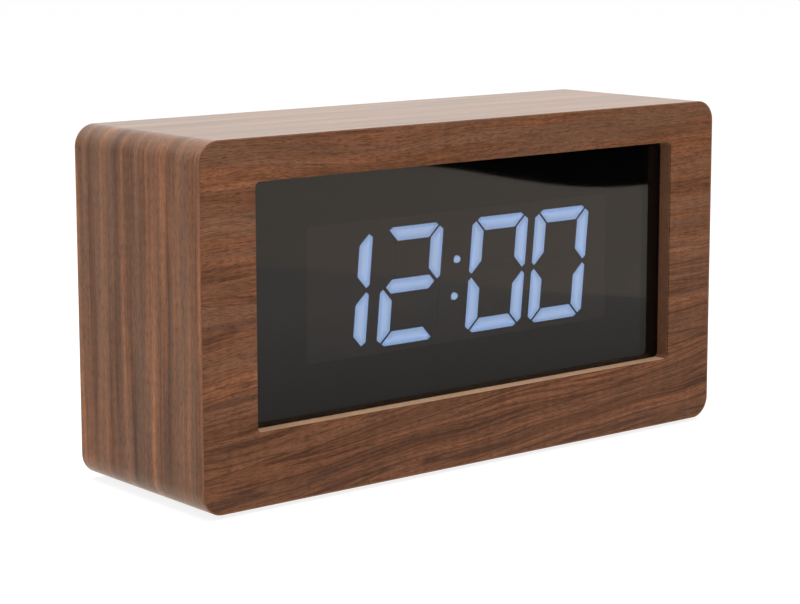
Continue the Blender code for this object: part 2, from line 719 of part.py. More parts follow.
def board_hook(side):
    # A sprung post beside the LED board, with a sloping barb over the board's back.
    inner = led_board_width / 2 + HOOK_CLEARANCE
    outer = inner + HOOK_THICKNESS
    tip = led_board_width / 2 - HOOK_OVERHANG
    catch = led_board_back + HOOK_PLAY
    outline = [
        (inner, carrier_back - SOLDER_BITE),
        (outer, carrier_back - SOLDER_BITE),
        (outer, catch + HOOK_BARB_HEIGHT),
        (inner, catch + HOOK_BARB_HEIGHT),
        (tip, catch + HOOK_LAND),
        (tip, catch),
        (inner, catch),
    ]
    return flat_slab(f"board_hook_{side}", [(side * x, y) for x, y in outline],
                     window_middle - HOOK_WIDTH / 2, window_middle + HOOK_WIDTH / 2, helper=True)


def corner_crossing(seam_side):
    # Where a segment's mitre, half a seam from the mitre line, meets the digit's cut corner:
    # (distance in from the side, distance down from the top).
    mitre = MITRE_SHIFT + seam_side * SEGMENT_SEAM / math.sqrt(2)
    down = (1 - mitre / CORNER_CUT_X) / (1 / CORNER_CUT_X + 1 / CORNER_CUT_Z)
    return mitre + down, down, mitre


def segment_outline(segment):
    # Outline of one of the seven segments before the digit leans, from its lower left corner.
    half = DIGIT_HEIGHT / 2
    bar_x, bar_down, bar_mitre = corner_crossing(1)
    side_x, side_down, side_mitre = corner_crossing(-1)
    if segment in "ad":
        left = [(bar_mitre + STROKE_BAR, STROKE_BAR), (bar_x, bar_down), (CORNER_CUT_X, 0.0)]
        points = left + [(DIGIT_WIDTH - x, down) for x, down in reversed(left)]
        return [(x, DIGIT_HEIGHT - down if segment == "a" else down) for x, down in points]
    if segment == "g":
        rise = STROKE_BAR / 2
        left = [(BAR_TIP_X + rise, half - rise), (BAR_TIP_X, half), (BAR_TIP_X + rise, half + rise)]
        return left + [(DIGIT_WIDTH - x, z) for x, z in reversed(left)]
    waist_mitre = WAIST_TIP_X - WAIST_TIP_Z
    points = [
        (0.0, DIGIT_HEIGHT - CORNER_CUT_Z),
        (side_x, DIGIT_HEIGHT - side_down),
        (STROKE_SIDE, DIGIT_HEIGHT - STROKE_SIDE + side_mitre),
        (STROKE_SIDE, half + STROKE_SIDE - waist_mitre),
        (WAIST_TIP_X, half + WAIST_TIP_Z),
        (0.0, half + WAIST_CUT_Z),
    ]
    if segment in "ec":
        points = [(x, DIGIT_HEIGHT - z) for x, z in points]
    if segment in "bc":
        points = [(DIGIT_WIDTH - x, z) for x, z in points]
    return points


def lean(points):
    return [(x + digit_lean * z, z) for x, z in points]


def grown(points, by):
    # The same outline with every edge moved outwards by the same distance.
    area = sum(x0 * z1 - x1 * z0 for (x0, z0), (x1, z1) in zip(points, points[1:] + points[:1]))
    side = 1 if area > 0 else -1
    moved = []
    for before, here, after in zip(points[-1:] + points[:-1], points, points[1:] + points[:1]):
        first = (Vector(here) - Vector(before)).normalized()
        second = (Vector(after) - Vector(here)).normalized()
        out_first = Vector((first.y, -first.x)) * side
        out_second = Vector((second.y, -second.x)) * side
        bisector = (out_first + out_second).normalized()
        corner = Vector(here) + bisector * (by / bisector.dot(out_first))
        moved.append((corner.x, corner.y))
    return moved


def colon_outlines():
    middle = DIGIT_HEIGHT / 2
    dots = []
    for z in (middle - COLON_SPACING / 2, middle + COLON_SPACING / 2):
        dots.append(arc(digit_lean * z, z, COLON_RADIUS, 0, 360, 16)[:-1])
    return dots


# Letters of the seven segments, clockwise from the top, with the middle last
SEGMENT_NAMES = {
    "a": "top",
    "b": "upper_right",
    "c": "lower_right",
    "d": "bottom",
    "e": "lower_left",
    "f": "upper_left",
    "g": "middle",
}


def digit_places():
    # (name, x, outlines of the lit segments, {place: outline} of the unlit ones), for 12:00.
    # The first digit has only the two segments of a 1.
    shown = (
        ("hours_tens", hours_tens_x, "bc", ""),
        ("hours_units", hours_units_x, "abdeg", "cf"),
        ("minutes_tens", minutes_tens_x, "abcdef", "g"),
        ("minutes_units", minutes_units_x, "abcdef", "g"),
    )
    places = [("colon", colon_x, colon_outlines(), {})]
    for name, x, lit, unlit in shown:
        places.append((name, x, [lean(segment_outline(segment)) for segment in lit],
                       {SEGMENT_NAMES[segment]: lean(segment_outline(segment)) for segment in unlit}))
    return places


def digit_guides():
    # The lit segments of a digit are one moulding of clear resin: a thin backing with the
    # segments standing on it. An unlit segment is a resin bar of its own, let in through it.
    tip = carrier_face + GUIDE_SET_BACK
    for name, x, lit, unlit in digit_places():
        xs = [px - digit_lean * pz for outline in lit for px, pz in outline]
        zs = [pz for outline in lit for _, pz in outline]
        width = max(xs) - min(xs) + 2 * GUIDE_MARGIN
        height = max(zs) - min(zs) + 2 * GUIDE_MARGIN
        backing = lean(rectangle(width, height, (max(xs) + min(xs)) / 2, (max(zs) + min(zs)) / 2))
        guide = plate(f"digit_{name}", [backing], guide_front, guide_back, x, digit_base, lit_resin)
        bars = [plate(f"{name}_bar_{i}", [outline], tip, guide_front + GUIDE_BACKING / 2,
                      x, digit_base, helper=True) for i, outline in enumerate(lit)]
        fuse(guide, group(f"{name}_bars", bars))
        for place_name, outline in unlit.items():
            plate(f"unlit_{name}_{place_name}", [outline], tip, guide_back, x, digit_base, unlit_resin)
            gap = plate(f"{name}_{place_name}_gap", [grown(outline, GUIDE_CLEARANCE)],
                        guide_front - OVERRUN, guide_back + OVERRUN, x, digit_base, helper=True)
            cut(guide, gap)


def all_segments():
    # (name, x, outline) of every segment and dot, lit or not
    found = []
    for name, x, lit, unlit in digit_places():
        for i, outline in enumerate(lit + list(unlit.values())):
            found.append((f"{name}_{i}", x, outline))
    return found


def reflector_pin_places():
    x = module_width / 2 + REFLECTOR_FLANGE_LIP - 2 * REFLECTOR_PIN_RADIUS
    z = module_height / 2 + REFLECTOR_FLANGE_LIP - 2 * REFLECTOR_PIN_RADIUS
    return [(side_x * x, window_middle + side_z * z) for side_x in (-1, 1) for side_z in (-1, 1)]


def led_reflector():
    face = rectangle(module_width, module_height)
    rim = rectangle(module_width + 2 * REFLECTOR_FLANGE_LIP, module_height + 2 * REFLECTOR_FLANGE_LIP)
    reflector = plate("led_reflector", [face], carrier_face, reflector_back, z=window_middle,
                      material=reflector_plastic)
    flange = plate("reflector_flange", [rim], reflector_flange_front, reflector_back,
                   z=window_middle, helper=True)
    pins = [rod(f"reflector_pin_{i}", REFLECTOR_PIN_RADIUS, x, z, reflector_back - SOLDER_BITE,
                led_board_back + REFLECTOR_PIN_PROUD, helper=True, sides=12)
            for i, (x, z) in enumerate(reflector_pin_places())]
    wells = [plate(f"{name}_well", [grown(outline, WELL_CLEARANCE)], carrier_face - OVERRUN,
                   reflector_back + OVERRUN, x, digit_base, helper=True)
             for name, x, outline in all_segments()]
    fuse(reflector, flange, group("reflector_pins", pins))
    cut(reflector, group("reflector_wells", wells))


def led_board():
    board = plate("led_board", [rectangle(led_board_width, led_board_height)], led_board_front,
                  led_board_back, z=window_middle, material=circuit_green)
    leds = []
    for name, x, outline in all_segments():
        middle_x = x + (max(px for px, _ in outline) + min(px for px, _ in outline)) / 2
        middle_z = digit_base + (max(pz for _, pz in outline) + min(pz for _, pz in outline)) / 2
        leds.append(block_between(
            f"{name}_led",
            (middle_x - LED_LENGTH / 2, led_board_front - LED_HEIGHT, middle_z - LED_WIDTH / 2),
            (middle_x + LED_LENGTH / 2, led_board_front + SOLDER_BITE, middle_z + LED_WIDTH / 2),
            helper=True))
    header = block_between("led_header", (-HEADER_LENGTH / 2, led_board_back - SOLDER_BITE,
                                          window_middle - HEADER_WIDTH / 2),
                           (HEADER_LENGTH / 2, led_board_back + HEADER_HEIGHT,
                            window_middle + HEADER_WIDTH / 2), helper=True)
    fuse(board, group("leds", leds), header)
    holes = [rod(f"pin_hole_{i}", REFLECTOR_PIN_RADIUS + PIN_CLEARANCE, x, z,
                 led_board_front - OVERRUN, led_board_back + OVERRUN, helper=True, sides=12)
             for i, (x, z) in enumerate(reflector_pin_places())]
    cut(board, group("led_board_holes", holes))


def button_places():
    names = ("set", "alarm", "down", "up", "dimmer")
    return [(f"{name}_button", first_button_x + i * button_pitch) for i, name in enumerate(names)]


def main_board():
    board = plate("main_board", [rectangle(main_board_width, MAIN_BOARD_HEIGHT)], main_board_front,
                  main_board_back, z=row_z, material=circuit_green)
    parts = []
    for name, x in button_places():
        tact = block_between(f"{name}_tact",
                             (x - TACT_SIDE / 2, main_board_back - SOLDER_BITE, row_z - TACT_SIDE / 2),
                             (x + TACT_SIDE / 2, main_board_back + TACT_HEIGHT, row_z + TACT_SIDE / 2),
                             helper=True)
        plunger = rod(f"{name}_plunger", TACT_PLUNGER_RADIUS, x, row_z, main_board_back,
                      main_board_back + TACT_HEIGHT + TACT_PLUNGER_HEIGHT, helper=True, sides=16)
        fuse(board, tact, plunger)
    chip = block_between("clock_chip",
                         (first_button_x - CHIP_SIDE / 2, main_board_front - CHIP_HEIGHT,
                          row_z - CHIP_SIDE / 2),
                         (first_button_x + CHIP_SIDE / 2, main_board_front + SOLDER_BITE,
                          row_z + CHIP_SIDE / 2), helper=True)
    parts.append(chip)
    for i, x in enumerate((jack_x, switch_x)):
        parts.append(rod(f"capacitor_{i}", CAPACITOR_RADIUS, x, row_z,
                         main_board_front - CAPACITOR_HEIGHT, main_board_front + SOLDER_BITE,
                         helper=True, sides=16))
    parts.append(block_between("main_header",
                               (-HEADER_LENGTH / 2, main_board_front - HEADER_HEIGHT,
                                row_z - HEADER_WIDTH / 2),
                               (HEADER_LENGTH / 2, main_board_front + SOLDER_BITE,
                                row_z + HEADER_WIDTH / 2), helper=True))
    fuse(board, group("board_parts", parts))
    holes = [rod(f"main_board_hole_{i}", SCREW_RADIUS + SCREW_HOLE_CLEARANCE, x, row_z,
                 main_board_front - OVERRUN, main_board_back + OVERRUN, helper=True, sides=16)
             for i, x in enumerate((left_boss_x, right_boss_x))]
    cut(board, group("main_board_holes", holes))
    for name, x in (("left", left_boss_x), ("right", right_boss_x)):
        screw(f"main_board_screw_{name}", x, row_z, main_board_front - PILOT_CLEARANCE, -1,
              BOARD_SCREW_LENGTH)


def power_socket():
    front = main_board_back + PILOT_CLEARANCE
    mouth = cover_outer - JACK_SET_BACK
    socket = block_between("power_socket", (jack_x - JACK_SIDE / 2, front, row_z - JACK_SIDE / 2),
                           (jack_x + JACK_SIDE / 2, cover_inner - SEAT_GAP, row_z + JACK_SIDE / 2),
                           component_black)
    snout = rod("socket_snout", JACK_SNOUT_RADIUS, jack_x, row_z, front + OVERRUN, mouth,
                helper=True, sides=20)
    bore = turned("socket_bore", [(0.0, OVERRUN), (JACK_BORE_RADIUS, OVERRUN),
                                  (JACK_BORE_RADIUS, -JACK_BORE_DEPTH),
                                  (JACK_PIN_RADIUS, -JACK_BORE_DEPTH),
                                  (JACK_PIN_RADIUS, -JACK_PIN_SET_BACK), (0.0, -JACK_PIN_SET_BACK)],
                  (jack_x, mouth, row_z), (0, 1, 0), helper=True, steps=16)
    cut(fuse(socket, snout), bore)


def buzzer():
    bottom = main_board_back + PILOT_CLEARANCE
    top = bottom + BUZZER_HEIGHT
    half = BUZZER_HEIGHT / 2
    shape = turned("buzzer", [(0.0, half - BUZZER_PORT_DEPTH), (BUZZER_PORT_RADIUS, half - BUZZER_PORT_DEPTH),
                              (BUZZER_PORT_RADIUS, half), (BUZZER_RADIUS, half),
                              (BUZZER_RADIUS, -half), (0.0, -half)],
                   (buzzer_x, (bottom + top) / 2, row_z), (0, 1, 0), component_black, steps=24)
    shade_round(shape)


def slide_switch():
    front = main_board_back + PILOT_CLEARANCE
    back = main_board_back + SWITCH_HEIGHT
    slot_length = LEVER_LENGTH + KNOB_TRAVEL + 2 * KNOB_CLEARANCE
    body_length = slot_length + 2 * SWITCH_END_WALL
    body = block_between("slide_switch", (switch_x - body_length / 2, front, row_z - SWITCH_WIDTH / 2),
                         (switch_x + body_length / 2, back, row_z + SWITCH_WIDTH / 2), zinc_steel)
    slot = block_between("switch_slot",
                         (switch_x - slot_length / 2, back - LEVER_BITE - KNOB_CLEARANCE,
                          row_z - LEVER_WIDTH / 2 - KNOB_CLEARANCE),
                         (switch_x + slot_length / 2, back + OVERRUN,
                          row_z + LEVER_WIDTH / 2 + KNOB_CLEARANCE), helper=True)
    cut(body, slot)
    # The knob rests at the off end of its travel, towards -X.
    x = switch_x - KNOB_TRAVEL / 2
    flange_back = cover_inner - SEAT_GAP
    flange_front = flange_back - KNOB_FLANGE_THICKNESS
    slot_height = KNOB_WIDTH + 2 * KNOB_CLEARANCE
    flange_height = slot_height + 2 * KNOB_FLANGE_LAP
    knob = block_between("alarm_switch_knob",
                         (x - knob_flange_length / 2, flange_front, row_z - flange_height / 2),
                         (x + knob_flange_length / 2, flange_back, row_z + flange_height / 2), black_abs)
    grip = block_between("knob_grip", (x - KNOB_LENGTH / 2, flange_front + SOLDER_BITE,
                                       row_z - KNOB_WIDTH / 2),
                         (x + KNOB_LENGTH / 2, cover_outer + KNOB_PROUD, row_z + KNOB_WIDTH / 2),
                         helper=True)
    lever = block_between("knob_lever", (x - LEVER_LENGTH / 2, back - LEVER_BITE, row_z - LEVER_WIDTH / 2),
                          (x + LEVER_LENGTH / 2, flange_front + SOLDER_BITE, row_z + LEVER_WIDTH / 2),
                          helper=True)
    groove_pitch = KNOB_LENGTH / (KNOB_GROOVE_COUNT + 1)
    grooves = []
    for i in range(KNOB_GROOVE_COUNT):
        groove_x = x - KNOB_LENGTH / 2 + (i + 1) * groove_pitch
        grooves.append(block_between(
            f"knob_groove_{i}",
            (groove_x - KNOB_GROOVE_WIDTH / 2, cover_outer + KNOB_PROUD - KNOB_GROOVE_DEPTH,
             row_z - KNOB_WIDTH / 2 - OVERRUN),
            (groove_x + KNOB_GROOVE_WIDTH / 2, cover_outer + KNOB_PROUD + OVERRUN,
             row_z + KNOB_WIDTH / 2 + OVERRUN), helper=True))
    cut(fuse(knob, grip, lever), group("knob_grooves", grooves))


def push_buttons():
    cap_top = BUTTON_PROUD
    flange_top = -COVER_THICKNESS - SEAT_GAP
    flange_bottom = flange_top - BUTTON_FLANGE_THICKNESS
    plunger_top = main_board_back + TACT_HEIGHT + TACT_PLUNGER_HEIGHT
    stem_bottom = plunger_top + BUTTON_TRAVEL + BUTTON_FREE_PLAY - cover_outer
    rounding = arc(BUTTON_RADIUS - BUTTON_ROUND, cap_top - BUTTON_ROUND, BUTTON_ROUND, 90, 0, 3)
    profile = [(0.0, cap_top)] + rounding + [
        (BUTTON_RADIUS, flange_top),
        (BUTTON_FLANGE_RADIUS, flange_top),
        (BUTTON_FLANGE_RADIUS, flange_bottom),
        (BUTTON_STEM_RADIUS, flange_bottom),
        (BUTTON_STEM_RADIUS, stem_bottom),
        (0.0, stem_bottom),
    ]
    for name, x in button_places():
        shade_round(turned(name, profile, (x, cover_outer, row_z), (0, 1, 0), black_abs, steps=20))


def tab_places():
    return [side * door_length * DOOR_TAB_SHARE for side in (-1, 1)]


def rear_cover():
    width = hollow_width + 2 * (COVER_LIP - COVER_CLEARANCE)
    height = hollow_height + 2 * (COVER_LIP - COVER_CLEARANCE)
    outline = rounded_rectangle(width, height, COVER_CORNER_RADIUS, steps=4)
    cover = plate("rear_cover", [outline], cover_inner, cover_outer, z=case_middle,
                  material=black_abs)
    # The tub of the battery bay and the two bosses behind the plate
    tub = block_between("bay_tub",
                        (-bay_length / 2 - BAY_WALL, bay_floor - BAY_WALL, bay_z - bay_height / 2 - BAY_WALL),
                        (bay_length / 2 + BAY_WALL, cover_inner + SOLDER_BITE,
                         bay_z + bay_height / 2 + BAY_WALL), helper=True)
    bosses = [rod(f"cover_boss_{i}", BOSS_RADIUS, x, row_z, main_board_back + SEAT_GAP,
                  cover_inner + SOLDER_BITE, helper=True)
              for i, x in enumerate((left_boss_x, right_boss_x))]
    fuse(cover, tub, group("cover_bosses", bosses))

    hollow = block_between("bay_hollow", (-bay_length / 2, bay_floor, bay_z - bay_height / 2),
                           (bay_length / 2, cover_outer + OVERRUN, bay_z + bay_height / 2), helper=True)
    door_seat = block_between("door_seat",
                              (-door_length / 2 - DOOR_CLEARANCE, door_inner - DOOR_CLEARANCE,
                               bay_z - door_height / 2 - DOOR_CLEARANCE),
                              (door_length / 2 + DOOR_CLEARANCE, cover_outer + OVERRUN,
                               bay_z + door_height / 2 + DOOR_CLEARANCE), helper=True)
    # Slots through the ledge and the tub's lower wall, deep enough for the tabs to swing in
    reach = math.hypot(DOOR_TAB_TAIL + DOOR_THICKNESS / 2, DOOR_TAB_DROP + DOOR_TAB_THICKNESS)
    slots = []
    for i, x in enumerate(tab_places()):
        half = DOOR_TAB_WIDTH / 2 + DOOR_TAB_CLEARANCE
        slots.append(block_between(
            f"tab_slot_{i}",
            (x - half, hinge_y - reach - DOOR_CLEARANCE,
             bay_z - bay_height / 2 - BAY_WALL - OVERRUN),
            (x + half, cover_inner, bay_z - bay_height / 2 + OVERRUN), helper=True))
        slots.append(block_between(
            f"ledge_slot_{i}",
            (x - half, cover_inner - SOLDER_BITE, bay_z - door_height / 2 - DOOR_CLEARANCE),
            (x + half, cover_outer + OVERRUN, bay_z - bay_height / 2 + OVERRUN), helper=True))
    cut(cover, hollow, door_seat, *slots)

    round_holes = []
    for name, x in button_places():
        round_holes.append((f"{name}_hole", BUTTON_RADIUS + BUTTON_CLEARANCE, x, row_z))
    round_holes.append(("socket_hole", JACK_SNOUT_RADIUS + JACK_CLEARANCE, jack_x, row_z))
    round_holes.append(("sound_hole_middle", SOUND_HOLE_RADIUS, buzzer_x, row_z))
    for i in range(SOUND_RING_HOLES):
        angle = 2 * math.pi * i / SOUND_RING_HOLES
        round_holes.append((f"sound_hole_{i}", SOUND_HOLE_RADIUS,
                            buzzer_x + SOUND_RING_RADIUS * math.cos(angle),
                            row_z + SOUND_RING_RADIUS * math.sin(angle)))
    holes = [rod(name, radius, x, z, cover_inner - OVERRUN, cover_outer + OVERRUN, helper=True,
                 sides=12 if radius < BUTTON_RADIUS else 24)
             for name, radius, x, z in round_holes]
    slot_length = KNOB_LENGTH + KNOB_TRAVEL + 2 * KNOB_CLEARANCE
    holes.append(block_between("knob_slot",
                               (switch_x - slot_length / 2, cover_inner - OVERRUN,
                                row_z - KNOB_WIDTH / 2 - KNOB_CLEARANCE),
                               (switch_x + slot_length / 2, cover_outer + OVERRUN,
                                row_z + KNOB_WIDTH / 2 + KNOB_CLEARANCE), helper=True))
    first_vent = bay_length / 2 + BAY_WALL + VENT_GAP
    for side in (-1, 1):
        for i in range(VENT_COUNT):
            slot = rounded_rectangle(VENT_WIDTH, VENT_LENGTH, VENT_WIDTH * SLOT_END_SHARE, steps=2)
            holes.append(plate(f"vent_{side}_{i}", [slot], cover_inner - OVERRUN, cover_outer + OVERRUN,
                               side * (first_vent + i * VENT_PITCH), bay_z, helper=True))
    cut(cover, group("cover_holes", holes))

    screw_x = hollow_width / 2 - GLUE_LINE - BLOCK_SIDE / 2
    screw_z = hollow_height / 2 - GLUE_LINE - BLOCK_SIDE / 2
    for i, (side_x, side_z) in enumerate(((-1, -1), (-1, 1), (1, -1), (1, 1))):
        x, z = side_x * screw_x, case_middle + side_z * screw_z
        shank = rod(f"cover_screw_hole_{i}", SCREW_RADIUS + SCREW_HOLE_CLEARANCE, x, z,
                    cover_inner - OVERRUN, cover_outer + OVERRUN, helper=True, sides=16)
        bore = rod(f"cover_counterbore_{i}", SCREW_HEAD_RADIUS + COUNTERBORE_CLEARANCE, x, z,
                   cover_outer - COUNTERBORE_DEPTH, cover_outer + OVERRUN, helper=True)
        cut(cover, shank, bore)
    for i, x in enumerate((left_boss_x, right_boss_x)):
        pilot = rod(f"cover_boss_pilot_{i}", SCREW_RADIUS + PILOT_CLEARANCE, x, row_z,
                    main_board_back - OVERRUN,
                    main_board_front + BOARD_SCREW_LENGTH + OVERRUN, helper=True, sides=16)
        cut(cover, pilot)


def battery_door():
    # The lower edge is a half-round on the hinge axis, so it turns in place. Two tabs hook
    # behind the cover and hold that edge. The thumb recess is at the upper edge.
    steps = 6
    radius = DOOR_THICKNESS / 2
    top = door_height - radius
    edge = [(radius * math.cos(math.radians(a)), radius * math.sin(math.radians(a)))
            for a in [90 + 180 * i / steps for i in range(steps + 1)]]
    # Outline in the YZ plane from the hinge axis: first value is along Z, second along Y.
    outline = edge + [(top, -radius), (top, radius)]
    door = side_plate("battery_door", outline, -door_length / 2, door_length / 2, black_abs)
    drop = -(DOOR_TAB_DROP + DOOR_TAB_THICKNESS)
    neck_low = -radius / 2
    tab_outline = [
        (-radius - DOOR_TAB_TAIL, drop),
        (neck_low + DOOR_NECK_THICKNESS, drop),
        (neck_low + DOOR_NECK_THICKNESS, 0.0),
        (neck_low, 0.0),
        (neck_low, -DOOR_TAB_DROP),
        (-radius - DOOR_TAB_TAIL, -DOOR_TAB_DROP),
    ]
    for i, x in enumerate(tab_places()):
        tab = side_plate(f"door_tab_{i}", tab_outline, x - DOOR_TAB_WIDTH / 2, x + DOOR_TAB_WIDTH / 2,
                         helper=True)
        fuse(door, tab)
    thumb_z = hinge_z + top - 2 * THUMB_WIDTH / 2 - DOOR_LEDGE
    thumb = plate("thumb_recess", [rounded_rectangle(THUMB_LENGTH, THUMB_WIDTH, THUMB_WIDTH * SLOT_END_SHARE)],
                  door_outer - THUMB_DEPTH, door_outer + OVERRUN, 0.0, thumb_z, helper=True)
    cut(door, thumb)
    ribs = []
    first_rib = thumb_z - THUMB_WIDTH / 2 - GRIP_RIB_PITCH
    for i in range(GRIP_RIB_COUNT):
        z = first_rib - i * GRIP_RIB_PITCH
        ribs.append(block_between(
            f"grip_rib_{i}",
            (-THUMB_LENGTH / 2, door_outer - SOLDER_BITE, z - GRIP_RIB_WIDTH / 2),
            (THUMB_LENGTH / 2, door_outer + GRIP_RIB_HEIGHT, z + GRIP_RIB_WIDTH / 2), helper=True))
    fuse(door, group("grip_ribs", ribs))


def side_plate(name, outline, left, right, material=None, helper=False):
    # An outline in the YZ plane, measured from the hinge axis as (along Z, along Y) pairs, and
    # made as long as from left to right along X.
    curve = bpy.data.curves.new(name, "CURVE")
    curve.dimensions = "2D"
    curve.fill_mode = "BOTH"
    curve.extrude = (right - left) / 2
    spline = curve.splines.new("POLY")
    spline.points.add(len(outline) - 1)
    for point, (along_z, along_y) in zip(spline.points, outline):
        point.co = (along_y, along_z, 0.0, 1.0)
    spline.use_cyclic_u = True
    drawn = bpy.data.objects.new(name + "_outline", curve)
    clock.objects.link(drawn)
    drawn.rotation_euler = (math.pi / 2, 0.0, math.pi / 2)
    drawn.location = ((left + right) / 2, hinge_y, hinge_z)
    return solid_from_curve(name, drawn, material, helper)


def cells_and_contacts():
    # The upper cell's negative end is on the left, the lower cell's on the right.
    end_x = bay_length / 2 - CONTACT_GAP - CONTACT_THICKNESS
    cell_profile = [(0.0, CELL_LENGTH + NUB_LENGTH), (NUB_RADIUS, CELL_LENGTH + NUB_LENGTH),
                    (NUB_RADIUS, CELL_LENGTH), (CELL_RADIUS - CELL_ROUND, CELL_LENGTH),
                    (CELL_RADIUS, CELL_LENGTH - CELL_ROUND), (CELL_RADIUS, CELL_ROUND),
                    (CELL_RADIUS - CELL_ROUND, 0.0), (0.0, 0.0)]
    for level, side in (("upper", 1), ("lower", -1)):
        z = bay_z + side * cell_offset_z
        spring_start = -side * (end_x - SEAT_GAP)
        cell_start = -side * (end_x - 2 * SEAT_GAP - SPRING_LENGTH)
        shade_round(turned(f"battery_{level}", cell_profile, (cell_start, cell_y, z), (side, 0, 0),
                           cell_sleeve, steps=20))
        contact_spring(f"battery_spring_{level}", spring_start, side, z)
    link_height = 2 * cell_offset_z + CONTACT_SIDE
    plate_y = (cell_y - CONTACT_SIDE / 2, cell_y + CONTACT_SIDE / 2)
    block_between("contact_link", (-end_x - CONTACT_THICKNESS, plate_y[0], bay_z - link_height / 2),
                  (-end_x, plate_y[1], bay_z + link_height / 2), nickel)
    for name, side in (("contact_positive", 1), ("contact_negative", -1)):
        z = bay_z + side * cell_offset_z
        block_between(name, (end_x, plate_y[0], z - CONTACT_SIDE / 2),
                      (end_x + CONTACT_THICKNESS, plate_y[1], z + CONTACT_SIDE / 2), nickel)


def contact_spring(name, start_x, side, z):
    # A cone of wire that narrows towards the cell. Both ends run straight along X.
    count = SPRING_TURNS * SPRING_POINTS_PER_TURN
    straight = 2 * SPRING_WIRE_RADIUS
    coil_length = SPRING_LENGTH - 2 * straight
    coil = []
    for i in range(count + 1):
        share = i / count
        radius = SPRING_WIDE_RADIUS + (SPRING_NARROW_RADIUS - SPRING_WIDE_RADIUS) * share
        angle = 2 * math.pi * SPRING_TURNS * share
        coil.append(Vector((start_x + side * (straight + coil_length * share),
                            cell_y + radius * math.cos(angle), z + radius * math.sin(angle))))
    points = [coil[0] - Vector((side * straight, 0, 0))] + coil
    points.append(coil[-1] + Vector((side * straight, 0, 0)))
    wire(name, points, SPRING_WIRE_RADIUS, nickel)
    turn = SPRING_POINTS_PER_TURN
    apart = min((a - b).length for i, a in enumerate(coil) for b in coil[i + turn // 2:])
    print(f"{name}: least gap between turns {(apart - 2 * SPRING_WIRE_RADIUS) * 1000:.2f} mm")


def ribbon_cable():
    # A flat cable from the LED board's header up to the main board's, with some slack below.
    start = Vector((led_board_back + HEADER_HEIGHT + SEAT_GAP, window_middle))
    end = Vector((main_board_front - HEADER_HEIGHT - SEAT_GAP, row_z))
    out = Vector((RIBBON_SLACK, 0.0))
    line = bezier(start, start + out, end - out, end, RIBBON_STEPS)
    upper, lower = [], []
    for i, here in enumerate(line):
        along = (line[min(i + 1, RIBBON_STEPS)] - line[max(i - 1, 0)]).normalized()
        if i in (0, RIBBON_STEPS):
            along = Vector((1.0, 0.0))
        across = Vector((-along.y, along.x)) * RIBBON_THICKNESS / 2
        upper.append(here + across)
        lower.append(here - across)
    outline = [(point.y - hinge_z, point.x - hinge_y) for point in upper + lower[::-1]]
    side_plate("ribbon_cable", outline, -RIBBON_WIDTH / 2, RIBBON_WIDTH / 2, ribbon_grey)


def bezier(start, first, second, end, steps):
    points = []
    for i in range(steps + 1):
        t = i / steps
        points.append(start * (1 - t) ** 3 + first * 3 * t * (1 - t) ** 2
                      + second * 3 * t ** 2 * (1 - t) + end * t ** 3)
    return points


def battery_leads():
    wall = bay_length / 2 + BAY_WALL + SEAT_GAP
    for i, (name, side, material) in enumerate((("lead_positive", 1, lead_red),
                                                ("lead_negative", -1, lead_black))):
        start = Vector((wall, cell_y, bay_z + side * cell_offset_z))
        x = wall + LEAD_SLACK + (1 - i) * LEAD_SPACING
        end = Vector((x, main_board_front - SEAT_GAP, row_z - MAIN_BOARD_HEIGHT / 2 + LEAD_SPACING))
        first = start + Vector((2 * LEAD_SLACK, 0.0, 0.0))
        second = end - Vector((0.0, 2 * LEAD_SLACK, 0.0))
        wire(name, bezier(start, first, second, end, LEAD_STEPS), LEAD_RADIUS, material)


def feet():
    profile = [(0.0, FOOT_HEIGHT), (FOOT_RADIUS, FOOT_HEIGHT), (FOOT_RADIUS, FOOT_EDGE_ROUND),
               (FOOT_RADIUS - FOOT_EDGE_ROUND, 0.0), (0.0, 0.0)]
    x = CASE_WIDTH / 2 - FOOT_INSET_X
    y = CASE_DEPTH / 2 - FOOT_INSET_Y
    for across, side_x in (("left", -1), ("right", 1)):
        for along, side_y in (("front", -1), ("rear", 1)):
            shade_round(turned(f"foot_{along}_{across}", profile, (side_x * x, side_y * y, 0.0),
                               (0, 0, 1), foot_rubber, steps=24))


case_boards()
corner_blocks()
veneers()
front_frame()
lens()
display_carrier()
led_reflector()
digit_guides()
led_board()
main_board()
power_socket()
buzzer()
slide_switch()
push_buttons()
rear_cover()
battery_door()
cells_and_contacts()
ribbon_cable()
battery_leads()
feet()
